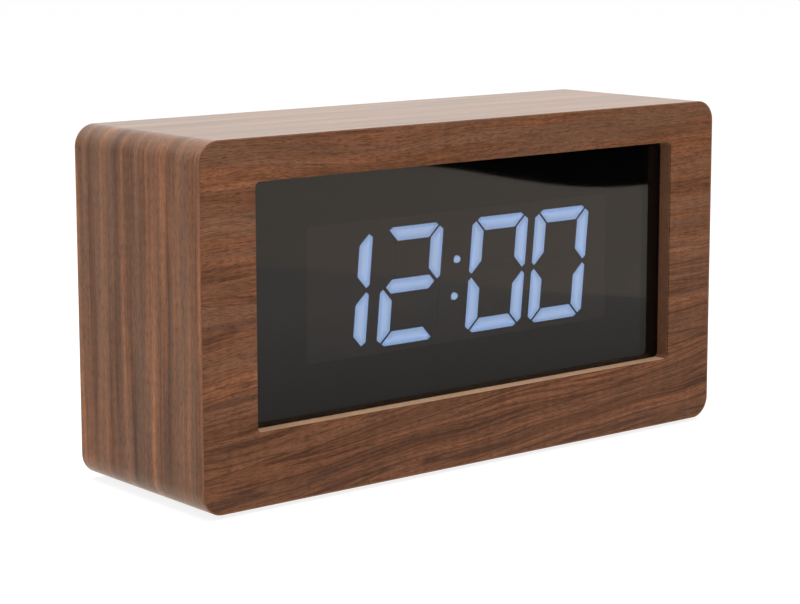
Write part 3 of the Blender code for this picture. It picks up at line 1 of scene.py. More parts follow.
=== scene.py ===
import math
import bmesh
import bpy
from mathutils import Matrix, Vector


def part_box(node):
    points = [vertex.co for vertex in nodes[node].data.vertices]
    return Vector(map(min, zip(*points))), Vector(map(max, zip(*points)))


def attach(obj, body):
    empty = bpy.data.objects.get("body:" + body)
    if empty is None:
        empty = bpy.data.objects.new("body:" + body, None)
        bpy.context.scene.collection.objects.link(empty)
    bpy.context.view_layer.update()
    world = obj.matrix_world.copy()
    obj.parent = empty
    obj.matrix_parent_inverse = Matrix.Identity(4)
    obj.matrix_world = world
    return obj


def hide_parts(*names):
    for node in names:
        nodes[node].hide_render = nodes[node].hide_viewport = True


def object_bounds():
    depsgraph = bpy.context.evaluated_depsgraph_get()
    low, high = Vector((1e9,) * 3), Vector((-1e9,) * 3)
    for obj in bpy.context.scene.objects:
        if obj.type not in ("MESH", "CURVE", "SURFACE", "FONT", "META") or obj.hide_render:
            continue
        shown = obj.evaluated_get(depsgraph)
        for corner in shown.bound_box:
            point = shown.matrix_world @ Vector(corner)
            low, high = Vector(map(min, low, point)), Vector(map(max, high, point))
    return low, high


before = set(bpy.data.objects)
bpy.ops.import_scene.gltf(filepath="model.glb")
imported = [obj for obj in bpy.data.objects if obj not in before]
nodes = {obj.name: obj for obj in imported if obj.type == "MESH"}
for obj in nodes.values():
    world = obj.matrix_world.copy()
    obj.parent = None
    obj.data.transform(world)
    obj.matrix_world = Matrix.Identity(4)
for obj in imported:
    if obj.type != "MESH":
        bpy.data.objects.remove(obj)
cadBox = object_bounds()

mm = 0.001
clockTop = cadBox[1][2]
print("frame loaded,", len(nodes), "nodes")


# camera, as the photograph was taken
view = {
    "place": (-0.53444, -0.64594, 0.20501),
    "turnedRight": 0.6863,    # radians, from looking straight along Y
    "tippedDown": 0.1541,
    "tilt": 0.0017,
    "lens": 101.2,            # mm on a 36 mm wide sensor
    "sensor": 36,
    "shift": -48 / 800,       # the photograph is cropped a little off centre
    "nearest": 0.01, "farthest": 50,
}

camera = bpy.data.objects.new("photoCamera", bpy.data.cameras.new("photoCamera"))
bpy.context.scene.collection.objects.link(camera)
camera.location = view["place"]
camera.rotation_euler = (math.pi / 2 - view["tippedDown"], view["tilt"], -view["turnedRight"])
camera.data.lens = view["lens"]
camera.data.sensor_width = view["sensor"]
camera.data.sensor_fit = "HORIZONTAL"
camera.data.shift_y = view["shift"]
camera.data.clip_start = view["nearest"]
camera.data.clip_end = view["farthest"]
bpy.context.scene.camera = camera
bpy.context.scene.view_settings.view_transform = "Standard"


# small helpers for materials
def toLinear(hexColour):
    parts = [int(hexColour[i:i + 2], 16) / 255 for i in (1, 3, 5)]
    return tuple(c / 12.92 if c <= 0.04045 else ((c + 0.055) / 1.055) ** 2.4 for c in parts) + (1.0,)


def newMaterial(name):
    material = bpy.data.materials.new(name)
    material.use_nodes = True
    return material, material.node_tree.nodes["Principled BSDF"]


def addNode(material, kind, inputs=None, stops=None, **settings):
    node = material.node_tree.nodes.new("ShaderNode" + kind)
    for key, value in settings.items():
        setattr(node, key, value)
    for key, value in (inputs or {}).items():
        if isinstance(value, bpy.types.NodeSocket):
            material.node_tree.links.new(value, node.inputs[key])
        else:
            node.inputs[key].default_value = value
    for i, (place, colour) in enumerate(stops or ()):
        element = node.color_ramp.elements[i] if i < 2 else node.color_ramp.elements.new(place)
        element.position = place
        element.color = toLinear(colour)
    return node


def wireShader(material, shader, colour, rough, normal):
    material.node_tree.links.new(colour, shader.inputs["Base Color"])
    material.node_tree.links.new(rough, shader.inputs["Roughness"])
    material.node_tree.links.new(normal, shader.inputs["Normal"])


def dress(name, material):
    # a CAD node keeps its shape and gets a material of its own
    nodes[name].data.materials.clear()
    nodes[name].data.materials.append(material)


# small helpers for shapes
joinery = {
    "weld": 0.002,        # mm, corners nearer than this become one
    "flat": 0.5,          # degrees, faces that turn less than this become one
    "smoothUnder": 32,    # degrees, edges that turn more stay crisp
}


def deselectAll():
    if bpy.context.object and bpy.context.object.mode != "OBJECT":
        bpy.ops.object.mode_set(mode="OBJECT")
    bpy.ops.object.select_all(action="DESELECT")


def pick(piece):
    deselectAll()
    piece.select_set(True)
    bpy.context.view_layer.objects.active = piece


def startBlock(name, low, high):
    # a block from corner to corner, to be shaped further
    deselectAll()
    size = [h - l for l, h in zip(low, high)]
    centre = [(h + l) / 2 for l, h in zip(low, high)]
    bpy.ops.mesh.primitive_cube_add(size=1, location=centre, scale=size)
    piece = bpy.context.object
    piece.name = piece.data.name = name
    bpy.ops.object.transform_apply(location=True, rotation=True, scale=True)
    return piece


def startCopy(name, node):
    # a CAD node's own shape, welded, with its flat faces whole again
    piece = bpy.data.objects.new(name, nodes[node].data.copy())
    piece.data.name = name
    bpy.context.scene.collection.objects.link(piece)
    piece.data.materials.clear()
    pick(piece)
    if piece.data.has_custom_normals:
        bpy.ops.mesh.customdata_custom_splitnormals_clear()
    bpy.ops.object.mode_set(mode="EDIT")
    bpy.ops.mesh.select_all(action="SELECT")
    bpy.ops.mesh.remove_doubles(threshold=joinery["weld"] * mm)
    bpy.ops.mesh.dissolve_limited(angle_limit=math.radians(joinery["flat"]))
    bpy.ops.object.mode_set(mode="OBJECT")
    return piece


def selectWhere(piece, kind, test):
    # edit mode, with only the edges or faces that pass the test selected
    pick(piece)
    bpy.ops.object.mode_set(mode="EDIT")
    bpy.ops.mesh.select_mode(type=kind)
    bpy.ops.mesh.select_all(action="DESELECT")
    shape = bmesh.from_edit_mesh(piece.data)
    for part in shape.edges if kind == "EDGE" else shape.faces:
        part.select_set(bool(test(part)))
    if kind == "EDGE":
        shape.select_flush_mode()
    bmesh.update_edit_mesh(piece.data)


def runsInDepth(edge):
    run = edge.verts[1].co - edge.verts[0].co
    return abs(run.y) > 0.999 * run.length


def modify(piece, kind, **settings):
    pick(piece)
    modifier = piece.modifiers.new(kind.lower(), kind)
    for key, value in settings.items():
        setattr(modifier, key, value)
    bpy.ops.object.modifier_apply(modifier=modifier.name)


def roundCorners(piece, radius, steps):
    # the four edges that run from front to rear, rounded like a router does
    selectWhere(piece, "EDGE", runsInDepth)
    bpy.ops.mesh.bevel(offset=radius * mm, segments=steps, profile=0.5)
    bpy.ops.object.mode_set(mode="OBJECT")


def breakEdges(piece, width, steps, sharperThan):
    # takes the sharpness off: width in mm, on edges that turn more than so many degrees
    modify(piece, "BEVEL", width=width * mm, segments=steps, limit_method="ANGLE",
           angle_limit=math.radians(sharperThan), harden_normals=False, use_clamp_overlap=True)


def cutAway(piece, cutter):
    modify(piece, "BOOLEAN", operation="DIFFERENCE", object=cutter, solver="EXACT")
    bpy.data.objects.remove(cutter)


def finish(piece, body, node, slot, *materials):
    # smooth where it is round, with broad flats that stay flat beside their rounded edges
    pick(piece)
    bpy.ops.object.shade_smooth_by_angle(angle=math.radians(joinery["smoothUnder"]))
    modify(piece, "WEIGHTED_NORMAL", keep_sharp=True, weight=100)
    for material in materials:
        piece.data.materials.append(material)
    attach(piece, body)
    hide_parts(node)
    return piece


# walnut veneer
# a layer is its size in mm along and across the grain, then its seed, detail and roughness
walnut = {
    # from the dark late wood to the pale early wood
    "tones": ((0.0, "#4A2A18"), (0.33, "#623C24"), (0.62, "#774A2F"), (1.0, "#9C633D")),
    "cool": "#6B4D3A",                       # greyer heartwood that comes and goes in bands
    "pore": "#2C190F",
    "poreDepth": 0.06,                       # mm
    "drift": ((90, 34), 3.1, 1.5, 0.5),      # the slow bends that all the figure follows
    "wobble": ((8, 3), 6.4, 1.0, 0.5),       # the small bends of the rows of pores
    "wobbles": 1.1,                          # mm
    "flare": ((3.2, 14), 8.9, 2.0, 0.5),     # short ripples across the grain that catch the light
    "flares": 0.07,
    "pores": ((2.4, 0.26), 2.3, 1.0, 0.4),   # real pores are 0.1 to 0.3 mm wide
    "dashes": ((7.0, 0.38), 4.6, 2.0, 0.5),  # short wavy dark dashes where rows of pores run together
    "poreShare": 0.55,
    "ringTurns": 46.0,
    "paintedShadeLowEnds": (15, 50),                   # mm; the painted shade low down on the front fades out between these heights
    "ior": 1.5,
    # the part of a layer's range that shows: its middle, or only its crests, its peaks or its clearings
    "middle": (0.3, 0.7), "crests": (0.2, 1.0), "peaks": (0.54, 0.68), "clearings": (0.42, 0.6),
}

# the two leaves that the clock is faced with; the front's grain lies along X and climbs low down
# a pair of strengths is that at the bottom edge and that at the top edge
frontLeaf = {
    "figure": ((170, 6), 33.1, 2.5, 0.5), "broad": 0.21, "wander": 13,
    "streak": ((34, 0.75), 5.3, 3.0, 0.6), "fine": 0.15,
    "bands": ((120, 7), 39.1, 2.0, 0.5), "cool": (0.1, 0.6),
    # the front gets painted shade low down, darker towards the bottom edge
    "rings": (0.42, 0.12), "climb": (-0.1, 0.0), "paintedShadeLow": 0.1, "dashes": 0.55,
    "relief": 0.4, "rough": (0.26, 0.2), "specular": 0.25,
}
wrapLeaf = {
    "figure": ((170, 6), 27.8, 2.5, 0.5), "broad": 0.4, "wander": 3,
    "streak": ((80, 1.8), 5.3, 3.0, 0.6), "fine": 0.27,
    "bands": ((120, 7), 33.8, 2.0, 0.5), "cool": (0.6, 0.6),
    "rings": (0.06, 0.06), "climb": (0.0, 0.0), "paintedShadeLow": 0.0, "dashes": 0.34,
    "relief": 0.06, "rough": (0.24, 0.225), "specular": 0.5,
    "lacquer": (1, 0.985, 0.92, 1),          # the lacquer is faintly amber
}


def walnutGrain(material, along, across, leaf):
    # open-pored sliced walnut: growth figure with darker ring lines, fine streaks, short dark pores
    def layer(size, seed, detail, roughness, side):
        spot = addNode(material, "CombineXYZ", {0: along, 1: side, 2: seed})
        spot = addNode(material, "Mapping", {"Vector": spot.outputs[0],
                                             "Scale": (1 / (size[0] * mm), 1 / (size[1] * mm), 1)})
        return addNode(material, "TexNoise", {"Vector": spot.outputs[0], "Scale": 1.0, "Detail": detail,
                                              "Roughness": roughness}).outputs["Fac"]

    byHeight = {}
    for key in ("climb", "rings", "cool"):
        low, high = leaf[key]
        byHeight[key] = addNode(material, "MapRange", {"Value": across, "From Min": 0, "From Max": clockTop,
                                                       "To Min": low, "To Max": high}).outputs[0]
    drift = addNode(material, "Math", {0: layer(*walnut["drift"], across), 1: 0.5}, operation="SUBTRACT")
    bent = addNode(material, "Math", {0: drift.outputs[0], 1: leaf["wander"] * mm, 2: across},
                   operation="MULTIPLY_ADD").outputs[0]
    # the grain climbs to the right low down and lies level at the top
    bent = addNode(material, "Math", {0: along, 1: byHeight["climb"], 2: bent},
                   operation="MULTIPLY_ADD").outputs[0]
    wobble = layer(*walnut["wobble"], across)
    wobbled = addNode(material, "Math", {0: wobble, 1: walnut["wobbles"] * mm, 2: bent},
                      operation="MULTIPLY_ADD").outputs[0]
    figure = layer(*leaf["figure"], bent)
    streak = layer(*leaf["streak"], bent)
    # ring lines run where the figure passes set levels, so they follow its bends
    turns = addNode(material, "Math", {0: figure, 1: walnut["ringTurns"]}, operation="MULTIPLY")
    wave = addNode(material, "Math", {0: turns.outputs[0]}, operation="SINE").outputs[0]

    # what each layer adds: the part of its range that is used, and what that becomes
    ranges = {
        "figure": (figure, *walnut["middle"], 0.5 - leaf["broad"], 0.5 + leaf["broad"]),
        "streak": (streak, *walnut["middle"], -leaf["fine"], leaf["fine"]),
        "flare": (layer(*walnut["flare"], across), *walnut["middle"], -walnut["flares"], walnut["flares"]),
        "ring": (wave, *walnut["crests"], 0.0, -1.0),
        # painted shade: the front's wood is made darker towards the bottom, standing in for the light from above
        # falling off
        "paintedShadeLow": (across, *(height * mm for height in walnut["paintedShadeLowEnds"]), -leaf["paintedShadeLow"], 0.0),
        "bands": (layer(*leaf["bands"], bent), *walnut["clearings"], 0.0, byHeight["cool"]),
        "pores": (layer(*walnut["pores"], bent), *walnut["peaks"], 0.0, walnut["poreShare"]),
        "dashes": (layer(*walnut["dashes"], wobbled), *walnut["peaks"], 0.0, leaf["dashes"]),
    }
    parts = {key: addNode(material, "MapRange", {"Value": value, "From Min": low, "From Max": high,
                                                 "To Min": bottom, "To Max": top}).outputs[0]
             for key, (value, low, high, bottom, top) in ranges.items()}
    parts["ring"] = addNode(material, "Math", {0: parts["ring"], 1: byHeight["rings"]},
                            operation="MULTIPLY").outputs[0]
    tone = parts["figure"]
    for key in ("streak", "flare", "ring", "paintedShadeLow"):
        tone = addNode(material, "Math", {0: tone, 1: parts[key]}, operation="ADD").outputs[0]

    colour = addNode(material, "ValToRGB", {"Fac": tone}, stops=walnut["tones"]).outputs["Color"]
    colour = addNode(material, "Mix", {0: parts["bands"], 6: colour, 7: toLinear(walnut["cool"])},
                     data_type="RGBA").outputs[2]
    dark = addNode(material, "Math", {0: parts["pores"], 1: parts["dashes"]},
                   operation="MAXIMUM").outputs[0]
    colour = addNode(material, "Mix", {0: dark, 6: colour, 7: toLinear(walnut["pore"])},
                     data_type="RGBA").outputs[2]
    low, high = leaf["rough"]
    rough = addNode(material, "MapRange", {"Value": tone, "To Min": low, "To Max": high})
    height = addNode(material, "Math", {0: streak, 1: dark}, operation="SUBTRACT")
    bump = addNode(material, "Bump", {"Strength": leaf["relief"], "Distance": walnut["poreDepth"] * mm,
                                      "Height": height.outputs[0]})
    return colour, rough.outputs[0], bump.outputs[0]


def makeWalnutFront():
    # real sliced veneer lies along X on the front; its figure wanders on the stiles
    material, shader = newMaterial("walnutVeneerFront")
    place = addNode(material, "TexCoord")
    split = addNode(material, "SeparateXYZ", {0: place.outputs["Object"]})
    wireShader(material, shader, *walnutGrain(material, split.outputs["X"], split.outputs["Z"], frontLeaf))
    shader.inputs["IOR"].default_value = walnut["ior"]
    shader.inputs["Specular IOR Level"].default_value = frontLeaf["specular"]
    return material


def makeWalnutWrap():
    # the wrap is one sheet bent round the case, so its grain follows the perimeter:
    # along = x, plus the drop from the case's top on the right, or minus it on the left
    material, shader = newMaterial("walnutVeneerWrap")
    place = addNode(material, "TexCoord")
    split = addNode(material, "SeparateXYZ", {0: place.outputs["Object"]})
    side = addNode(material, "Math", {0: split.outputs["X"]}, operation="SIGN")
    drop = addNode(material, "Math", {0: clockTop, 1: split.outputs["Z"]}, operation="SUBTRACT")
    along = addNode(material, "Math", {0: side.outputs[0], 1: drop.outputs[0], 2: split.outputs["X"]},
                    operation="MULTIPLY_ADD")
    wireShader(material, shader, *walnutGrain(material, along.outputs[0], split.outputs["Y"], wrapLeaf))
    shader.inputs["IOR"].default_value = walnut["ior"]
    shader.inputs["Specular IOR Level"].default_value = wrapLeaf["specular"]
    shader.inputs["Specular Tint"].default_value = wrapLeaf["lacquer"]
    return material


# the other finishes
def makeSurface(name, look):
    # the tone follows a cloudy pattern, or the grain itself; roughness and relief follow the grain
    # a pattern is its size in mm and its detail, and pebble grain has a size alone
    material, shader = newMaterial(name)
    place = addNode(material, "TexCoord").outputs["Object"]
    patterns = {key: addNode(material, "TexNoise", {"Vector": place, "Scale": 1 / (look[key][0] * mm),
                                                    "Detail": look[key][1]}).outputs["Fac"]
                for key in ("grain", "cloud") if key in look}
    if "pebble" in look:
        patterns["grain"] = addNode(material, "TexVoronoi", {"Vector": place, "Scale": 1 / (look["pebble"] * mm)},
                                    feature="SMOOTH_F1").outputs["Distance"]
    grain = patterns["grain"]
    low, high = look["rough"]
    tone = addNode(material, "ValToRGB", {"Fac": patterns.get("cloud", grain)}, stops=look["tones"])
    rough = addNode(material, "MapRange", {"Value": grain, "To Min": low, "To Max": high})
    bump = addNode(material, "Bump", {"Strength": look["relief"], "Distance": look["depth"] * mm,
                                      "Height": grain})
    wireShader(material, shader, tone.outputs["Color"], rough.outputs[0], bump.outputs[0])
    for key, value in look.get("shader", {}).items():
        shader.inputs[key].default_value = value
    return material


fibreboard = {
    "fibre": 1.4286, "patch": 16.667,        # mm; real fibres are 1 to 3 mm long
    "patchShare": 0.45, "stops": (0.45, 1.0),
    "rough": (0.75, 0.92), "relief": 0.4, "depth": 0.08,
}


def makeFibreboard(name, low, high):
    # medium-density fibreboard, sawn and sanded: short fibres and a fuzzy matte face
    material, shader = newMaterial(name)
    place = addNode(material, "TexCoord").outputs["Object"]
    fibre = addNode(material, "TexNoise", {"Vector": place, "Scale": 1 / (fibreboard["fibre"] * mm),
                                           "Detail": 5.0, "Roughness": 0.65, "Distortion": 0.6}).outputs["Fac"]
    patch = addNode(material, "TexNoise", {"Vector": place, "Scale": 1 / (fibreboard["patch"] * mm),
                                           "Detail": 2.0}).outputs["Fac"]
    both = addNode(material, "Math", {0: patch, 1: fibreboard["patchShare"], 2: fibre}, operation="MULTIPLY_ADD")
    colour = addNode(material, "ValToRGB", {"Fac": both.outputs[0]}, stops=zip(fibreboard["stops"], (low, high)))
    rough = addNode(material, "MapRange", {"Value": fibre, "To Min": fibreboard["rough"][0],
                                           "To Max": fibreboard["rough"][1]})
    bump = addNode(material, "Bump", {"Strength": fibreboard["relief"], "Height": fibre,
                                      "Distance": fibreboard["depth"] * mm})
    wireShader(material, shader, colour.outputs["Color"], rough.outputs[0], bump.outputs[0])
    return material


walnutFront = makeWalnutFront()
walnutWrap = makeWalnutWrap()
# the sanded edge of the sheet: paler, partly its own sanded tone and partly a painted highlight along the rims,
# with the layers just visible, drawn coarser than they are
veneerEdgeAndHighlight = makeSurface("walnutVeneerEdgeAndHighlight", {
    "grain": (1.1111, 3.0), "tones": ((0.3, "#68442F"), (0.7, "#7F553D")),
    "rough": (0.55, 0.75), "relief": 0.2, "depth": 0.05, "shader": {"Specular IOR Level": 0.2}})
stainedEdge = makeFibreboard("stainedFibreboard", "#856750", "#B08E6F")
# a darker copy of the stain, painted shade for the window's side walls
stainedWallsPaintedShade = makeFibreboard("stainedFibreboardPaintedShade", "#4C2F1C", "#6C462D")
bareBoard = makeFibreboard("bareFibreboard", "#7C6148", "#A78A6B")


# case wrap: sizes in mm; a broken edge is its width, its steps and the turn in degrees that it needs
caseWrap = {"corner": 8, "cornerSteps": 18, "thick": 0.6, "brokenEdge": (0.12, 3, 60)}


def buildCaseWrap():
    low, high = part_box("case_veneer")
    piece = startBlock("walnutWrap", low, high)
    roundCorners(piece, caseWrap["corner"], caseWrap["cornerSteps"])
    selectWhere(piece, "FACE", lambda face: abs(face.normal.y) > 0.9)
    bpy.ops.mesh.delete(type="FACE")
    bpy.ops.object.mode_set(mode="OBJECT")
    modify(piece, "SOLIDIFY", thickness=caseWrap["thick"] * mm, offset=-1)
    breakEdges(piece, *caseWrap["brokenEdge"])
    finish(piece, "case", "case_veneer", "walnut_veneer", walnutWrap, veneerEdgeAndHighlight)
    # the front and rear rims show the sheet's own edge, with its painted highlight
    for face in piece.data.polygons:
        if abs(face.normal.y) > 0.5:
            face.material_index = 1


# front face, with its window
frontFace = {
    "window": (199, 86), "windowMiddle": 70.6, "windowCorner": 2, "windowSteps": 8,
    "corner": 7.4, "cornerSteps": 16, "brokenEdge": (0.08, 3, 60),
    "tighter": 0.08,     # the sheet is trimmed close to the wrap's edge
    "bedded": 0.08,      # and pressed this far into its glue
    "cutterReach": 2,
}


def buildFrontFace():
    low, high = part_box("front_veneer")
    grow = Vector((frontFace["tighter"] * mm, 0, frontFace["tighter"] * mm))
    bed = Vector((0, frontFace["bedded"] * mm, 0))
    piece = startBlock("walnutFrontFace", low - grow, high + grow + bed)
    roundCorners(piece, frontFace["corner"], frontFace["cornerSteps"])
    wide, tall = (size / 2 * mm for size in frontFace["window"])
    middle, reach = frontFace["windowMiddle"] * mm, frontFace["cutterReach"] * mm
    cutter = startBlock("windowCutter", (-wide, low.y - reach, middle - tall),
                        (wide, high.y + reach, middle + tall))
    roundCorners(cutter, frontFace["windowCorner"], frontFace["windowSteps"])
    cutAway(piece, cutter)
    breakEdges(piece, *frontFace["brokenEdge"])
    finish(piece, "case", "front_veneer", "walnut_veneer", walnutFront)


def buildFrameBoard():
    piece = startCopy("frontFrameBoard", "front_frame")
    finish(piece, "case", "front_frame", "mdf", stainedEdge, stainedWallsPaintedShade)
    # the window's side walls get a darker copy of the stain than its sill and head: painted shade, where less
    # light reaches them
    for face in piece.data.polygons:
        if abs(face.normal.x) > 0.5:
            face.material_index = 1


buildCaseWrap()
buildFrontFace()
buildFrameBoard()
print("case done")


# lens
smokedAcrylic = {
    "haze": 71.429,      # mm
    "tones": ((0.3, "#878583"), (0.7, "#8C8A88")),
    "rough": (0.02, 0.032), "ior": 1.49,
}


def makeSmokedAcrylic():
    # cast acrylic, polished: clear gloss over a grey tint, with the faintest unevenness
    material, shader = newMaterial("smokedAcrylic")
    place = addNode(material, "TexCoord")
    haze = addNode(material, "TexNoise", {"Vector": place.outputs["Object"], "Detail": 2.0,
                                          "Scale": 1 / (smokedAcrylic["haze"] * mm)}).outputs["Fac"]
    tint = addNode(material, "ValToRGB", {"Fac": haze}, stops=smokedAcrylic["tones"])
    rough = addNode(material, "MapRange", {"Value": haze, "To Min": smokedAcrylic["rough"][0],
                                           "To Max": smokedAcrylic["rough"][1]})
    material.node_tree.links.new(tint.outputs["Color"], shader.inputs["Base Color"])
    material.node_tree.links.new(rough.outputs[0], shader.inputs["Roughness"])
    shader.inputs["Transmission Weight"].default_value = 1.0
    shader.inputs["IOR"].default_value = smokedAcrylic["ior"]
    return material


dress("lens", makeSmokedAcrylic())
# light reaches the display straight through the lens, so its face renders without speckle
nodes["lens"].visible_shadow = nodes["lens"].visible_diffuse = False


# display
litResinLook = {
    "cloud": 6.25, "unevenness": 0.06,       # mm, and how much the glow wanders
    "glow": ((0.0, "#7596C6"), (0.5, "#819FD0"), (1.0, "#96B2DC")),   # from each bar's edge to its middle
    "resin": "#8890A0", "rough": (0.28, 0.4), "strength": 3.6,
}


def makeLitResin():
    # epoxy potting with a white diffuser, lit from behind: brightest along each bar's middle
    material, shader = newMaterial("litDiffuserResin")
    core = addNode(material, "Attribute", attribute_name="glow")
    place = addNode(material, "TexCoord")
    cloud = addNode(material, "TexNoise", {"Vector": place.outputs["Object"], "Detail": 2.0,
                                           "Scale": 1 / (litResinLook["cloud"] * mm)}).outputs["Fac"]
    uneven = addNode(material, "MapRange", {"Value": cloud, "To Min": -litResinLook["unevenness"],
                                            "To Max": litResinLook["unevenness"]})
    level = addNode(material, "Math", {0: core.outputs["Fac"], 1: uneven.outputs[0]}, operation="ADD")
    colour = addNode(material, "ValToRGB", {"Fac": level.outputs[0]}, stops=litResinLook["glow"])
    rough = addNode(material, "MapRange", {"Value": cloud, "To Min": litResinLook["rough"][0],
                                           "To Max": litResinLook["rough"][1]})
    material.node_tree.links.new(colour.outputs["Color"], shader.inputs["Emission Color"])
    material.node_tree.links.new(rough.outputs[0], shader.inputs["Roughness"])
    shader.inputs["Base Color"].default_value = toLinear(litResinLook["resin"])
    shader.inputs["Emission Strength"].default_value = litResinLook["strength"]
    return material


litResin = makeLitResin()
# the module's screen-printed face: dull warm grey ink with a fine even grain
paintedFace = makeSurface("printedReflectorFace", {
    "grain": (0.55556, 2.0), "cloud": (25, 2.0), "tones": ((0.2, "#2C2624"), (0.8, "#302A27")),
    "rough": (0.5, 0.7), "relief": 0.15, "depth": 0.04, "shader": {"Specular IOR Level": 0.05}})
# the same potting with its lamp off, behind the module's grey film
unlitResin = makeSurface("unlitDiffuserResin", {
    "grain": (6.25, 2.0), "tones": ((0.2, "#2B2726"), (0.8, "#2F2B2A")),
    "rough": (0.35, 0.5), "relief": 0.1, "depth": 0.04, "shader": {"Specular IOR Level": 0.05}})

litBars = {
    "nodes": ("digit_hours_tens", "digit_hours_units", "digit_minutes_tens", "digit_minutes_units",
              "digit_colon"),
    "inset": 2.2, "dotInset": 0.8,           # mm from a bar's edge to its bright middle
    "dotShape": (1.02, 1, 0.8),              # the dots are a little wider than tall
    "dotDepth": 2.5, "backing": 1.2,
    "faceWithin": 0.1,
}


def buildLitBars(node):
    # each bar's face gets a bright middle, kept in the attribute that the glow follows
    low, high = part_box(node)
    piece = startCopy(node.replace("digit_", "lit_"), node)
    inset = litBars["inset"]
    if node == "digit_colon":
        inset = litBars["dotInset"]
        rear = min(low.y + litBars["dotDepth"] * mm, high.y - litBars["backing"] * mm)
        middle = (low.z + high.z) / 2
        for above in (False, True):
            selectWhere(piece, "FACE", lambda face: face.calc_center_median().y < rear
                        and (face.calc_center_median().z > middle) == above)
            spots = [vert.co for vert in bmesh.from_edit_mesh(piece.data).verts if vert.select]
            centre = sum(spots, Vector()) / len(spots)
            bpy.ops.transform.resize(value=litBars["dotShape"], center_override=centre)
            bpy.ops.object.mode_set(mode="OBJECT")
    front = low.y + litBars["faceWithin"] * mm
    selectWhere(piece, "FACE", lambda face: face.normal.y < -0.9 and face.calc_center_median().y < front)
    bpy.ops.mesh.inset(thickness=inset * mm, use_individual=True, use_even_offset=True)
    inner = [vert.index for vert in bmesh.from_edit_mesh(piece.data).verts if vert.select]
    bpy.ops.object.mode_set(mode="OBJECT")
    glow = piece.data.attributes.new("glow", "FLOAT", "POINT")
    for index in inner:
        glow.data[index].value = 1.0
    finish(piece, "case", node, "lit_resin", litResin)


for name in litBars["nodes"]:
    buildLitBars(name)
dress("led_reflector", paintedFace)
for name in nodes:
    if name.startswith("unlit_"):
        dress(name, unlitResin)
print("display done")


# moulded plastics, rubber and plated steel
def makeTexturedAbs(name, colour, lighter, pebble=0.45, relief=0.3, specular=0.5):
    # injection-moulded ABS from a spark-eroded tool: even pebble grain, satin black
    return makeSurface(name, {
        "pebble": pebble, "cloud": (18.182, 3.0), "tones": ((0.25, colour), (0.8, lighter)),
        "rough": (0.42, 0.62), "relief": relief, "depth": 0.06,
        "shader": {"IOR": 1.54, "Specular IOR Level": specular}})


def makePlatedSteel(name, colour, lighter, roughest):
    # barrel-plated steel: bright but uneven, with small scuffs where it was tumbled and driven
    return makeSurface(name, {
        "grain": (1.1111, 4.0), "cloud": (4, 2.0), "tones": ((0.25, colour), (0.8, lighter)),
        "rough": (roughest - 0.22, roughest), "relief": 0.15, "depth": 0.03, "shader": {"Metallic": 1.0}})


def makeVinyl(name, colour, lighter):
    # extruded PVC insulation: soft gloss, faintly mottled
    return makeSurface(name, {
        "grain": (3.3333, 3.0), "tones": ((0.3, colour), (0.8, lighter)),
        "rough": (0.38, 0.55), "relief": 0.1, "depth": 0.05})


coverAbs = makeTexturedAbs("texturedAbsBlack", "#1A1A1B", "#232324")
buttonAbs = makeTexturedAbs("satinAbsBlack", "#242425", "#2E2E2F", pebble=0.25)
carrierAbs = makeTexturedAbs("matteAbsBlack", "#0B0A0A", "#0F0E0E", pebble=2.5, relief=0.01, specular=0.02)
componentAbs = makeTexturedAbs("mouldedNylonBlack", "#202020", "#2B2B2B", pebble=0.3)
zincSteel = makePlatedSteel("zincPlatedSteel", "#A9ABB0", "#C4C6CA", 0.42)
nickelSteel = makePlatedSteel("nickelPlatedSteel", "#B3AEA2", "#CBC6BB", 0.36)
# moulded rubber: dull, with dust held in a fine matte skin
rubber = makeSurface("mouldedRubber", {
    "grain": (0.66667, 3.0), "cloud": (8.3333, 3.0), "tones": ((0.35, "#1B1B1B"), (0.9, "#343332")),
    "rough": (0.8, 0.95), "relief": 0.25, "depth": 0.06})


# circuit boards, cells and wires
boardLaminate = {
    "masks": ("#0F4A26", "#135A2E"), "track": "#1C6E3C", "trackWidth": 0.03,
    "pitch": 16.667, "cloth": 0.71429,       # mm; the real cloth is too fine to show, so it is drawn coarser
    "rough": (0.25, 0.4), "relief": 0.1, "depth": 0.04,
}
cellSleeve = {
    "between": 48.59,                        # mm, the height that divides the upper cell from the lower
    "ends": (-20, 26),                       # mm, from the flat end to the button
    "bands": ((0.0, "#8F8F90"), (0.035, "#26292C"), (0.70, "#2A2D31"), (0.71, "#7E8C93"),
              (0.925, "#8A989F"), (0.935, "#B9B4AA"), (1.0, "#B9B4AA")),
    "scuff": 2, "rough": (0.22, 0.42), "relief": 0.08, "depth": 0.05,
}


def makeBoardLaminate():
    # glass-epoxy laminate under green solder mask: gloss lacquer over faint copper tracks
    material, shader = newMaterial("solderMaskLaminate")
    place = addNode(material, "TexCoord").outputs["Object"]
    tracks = addNode(material, "TexBrick", {
        "Vector": place, "Scale": 1 / (boardLaminate["pitch"] * mm), "Mortar Size": boardLaminate["trackWidth"],
        "Color1": toLinear(boardLaminate["masks"][0]), "Color2": toLinear(boardLaminate["masks"][1]),
        "Mortar": toLinear(boardLaminate["track"])})
    cloth = addNode(material, "TexNoise", {"Vector": place, "Scale": 1 / (boardLaminate["cloth"] * mm),
                                           "Detail": 2.0}).outputs["Fac"]
    rough = addNode(material, "MapRange", {"Value": cloth, "To Min": boardLaminate["rough"][0],
                                           "To Max": boardLaminate["rough"][1]})
    bump = addNode(material, "Bump", {"Strength": boardLaminate["relief"], "Height": cloth,
                                      "Distance": boardLaminate["depth"] * mm})
    wireShader(material, shader, tracks.outputs["Color"], rough.outputs[0], bump.outputs[0])
    return material


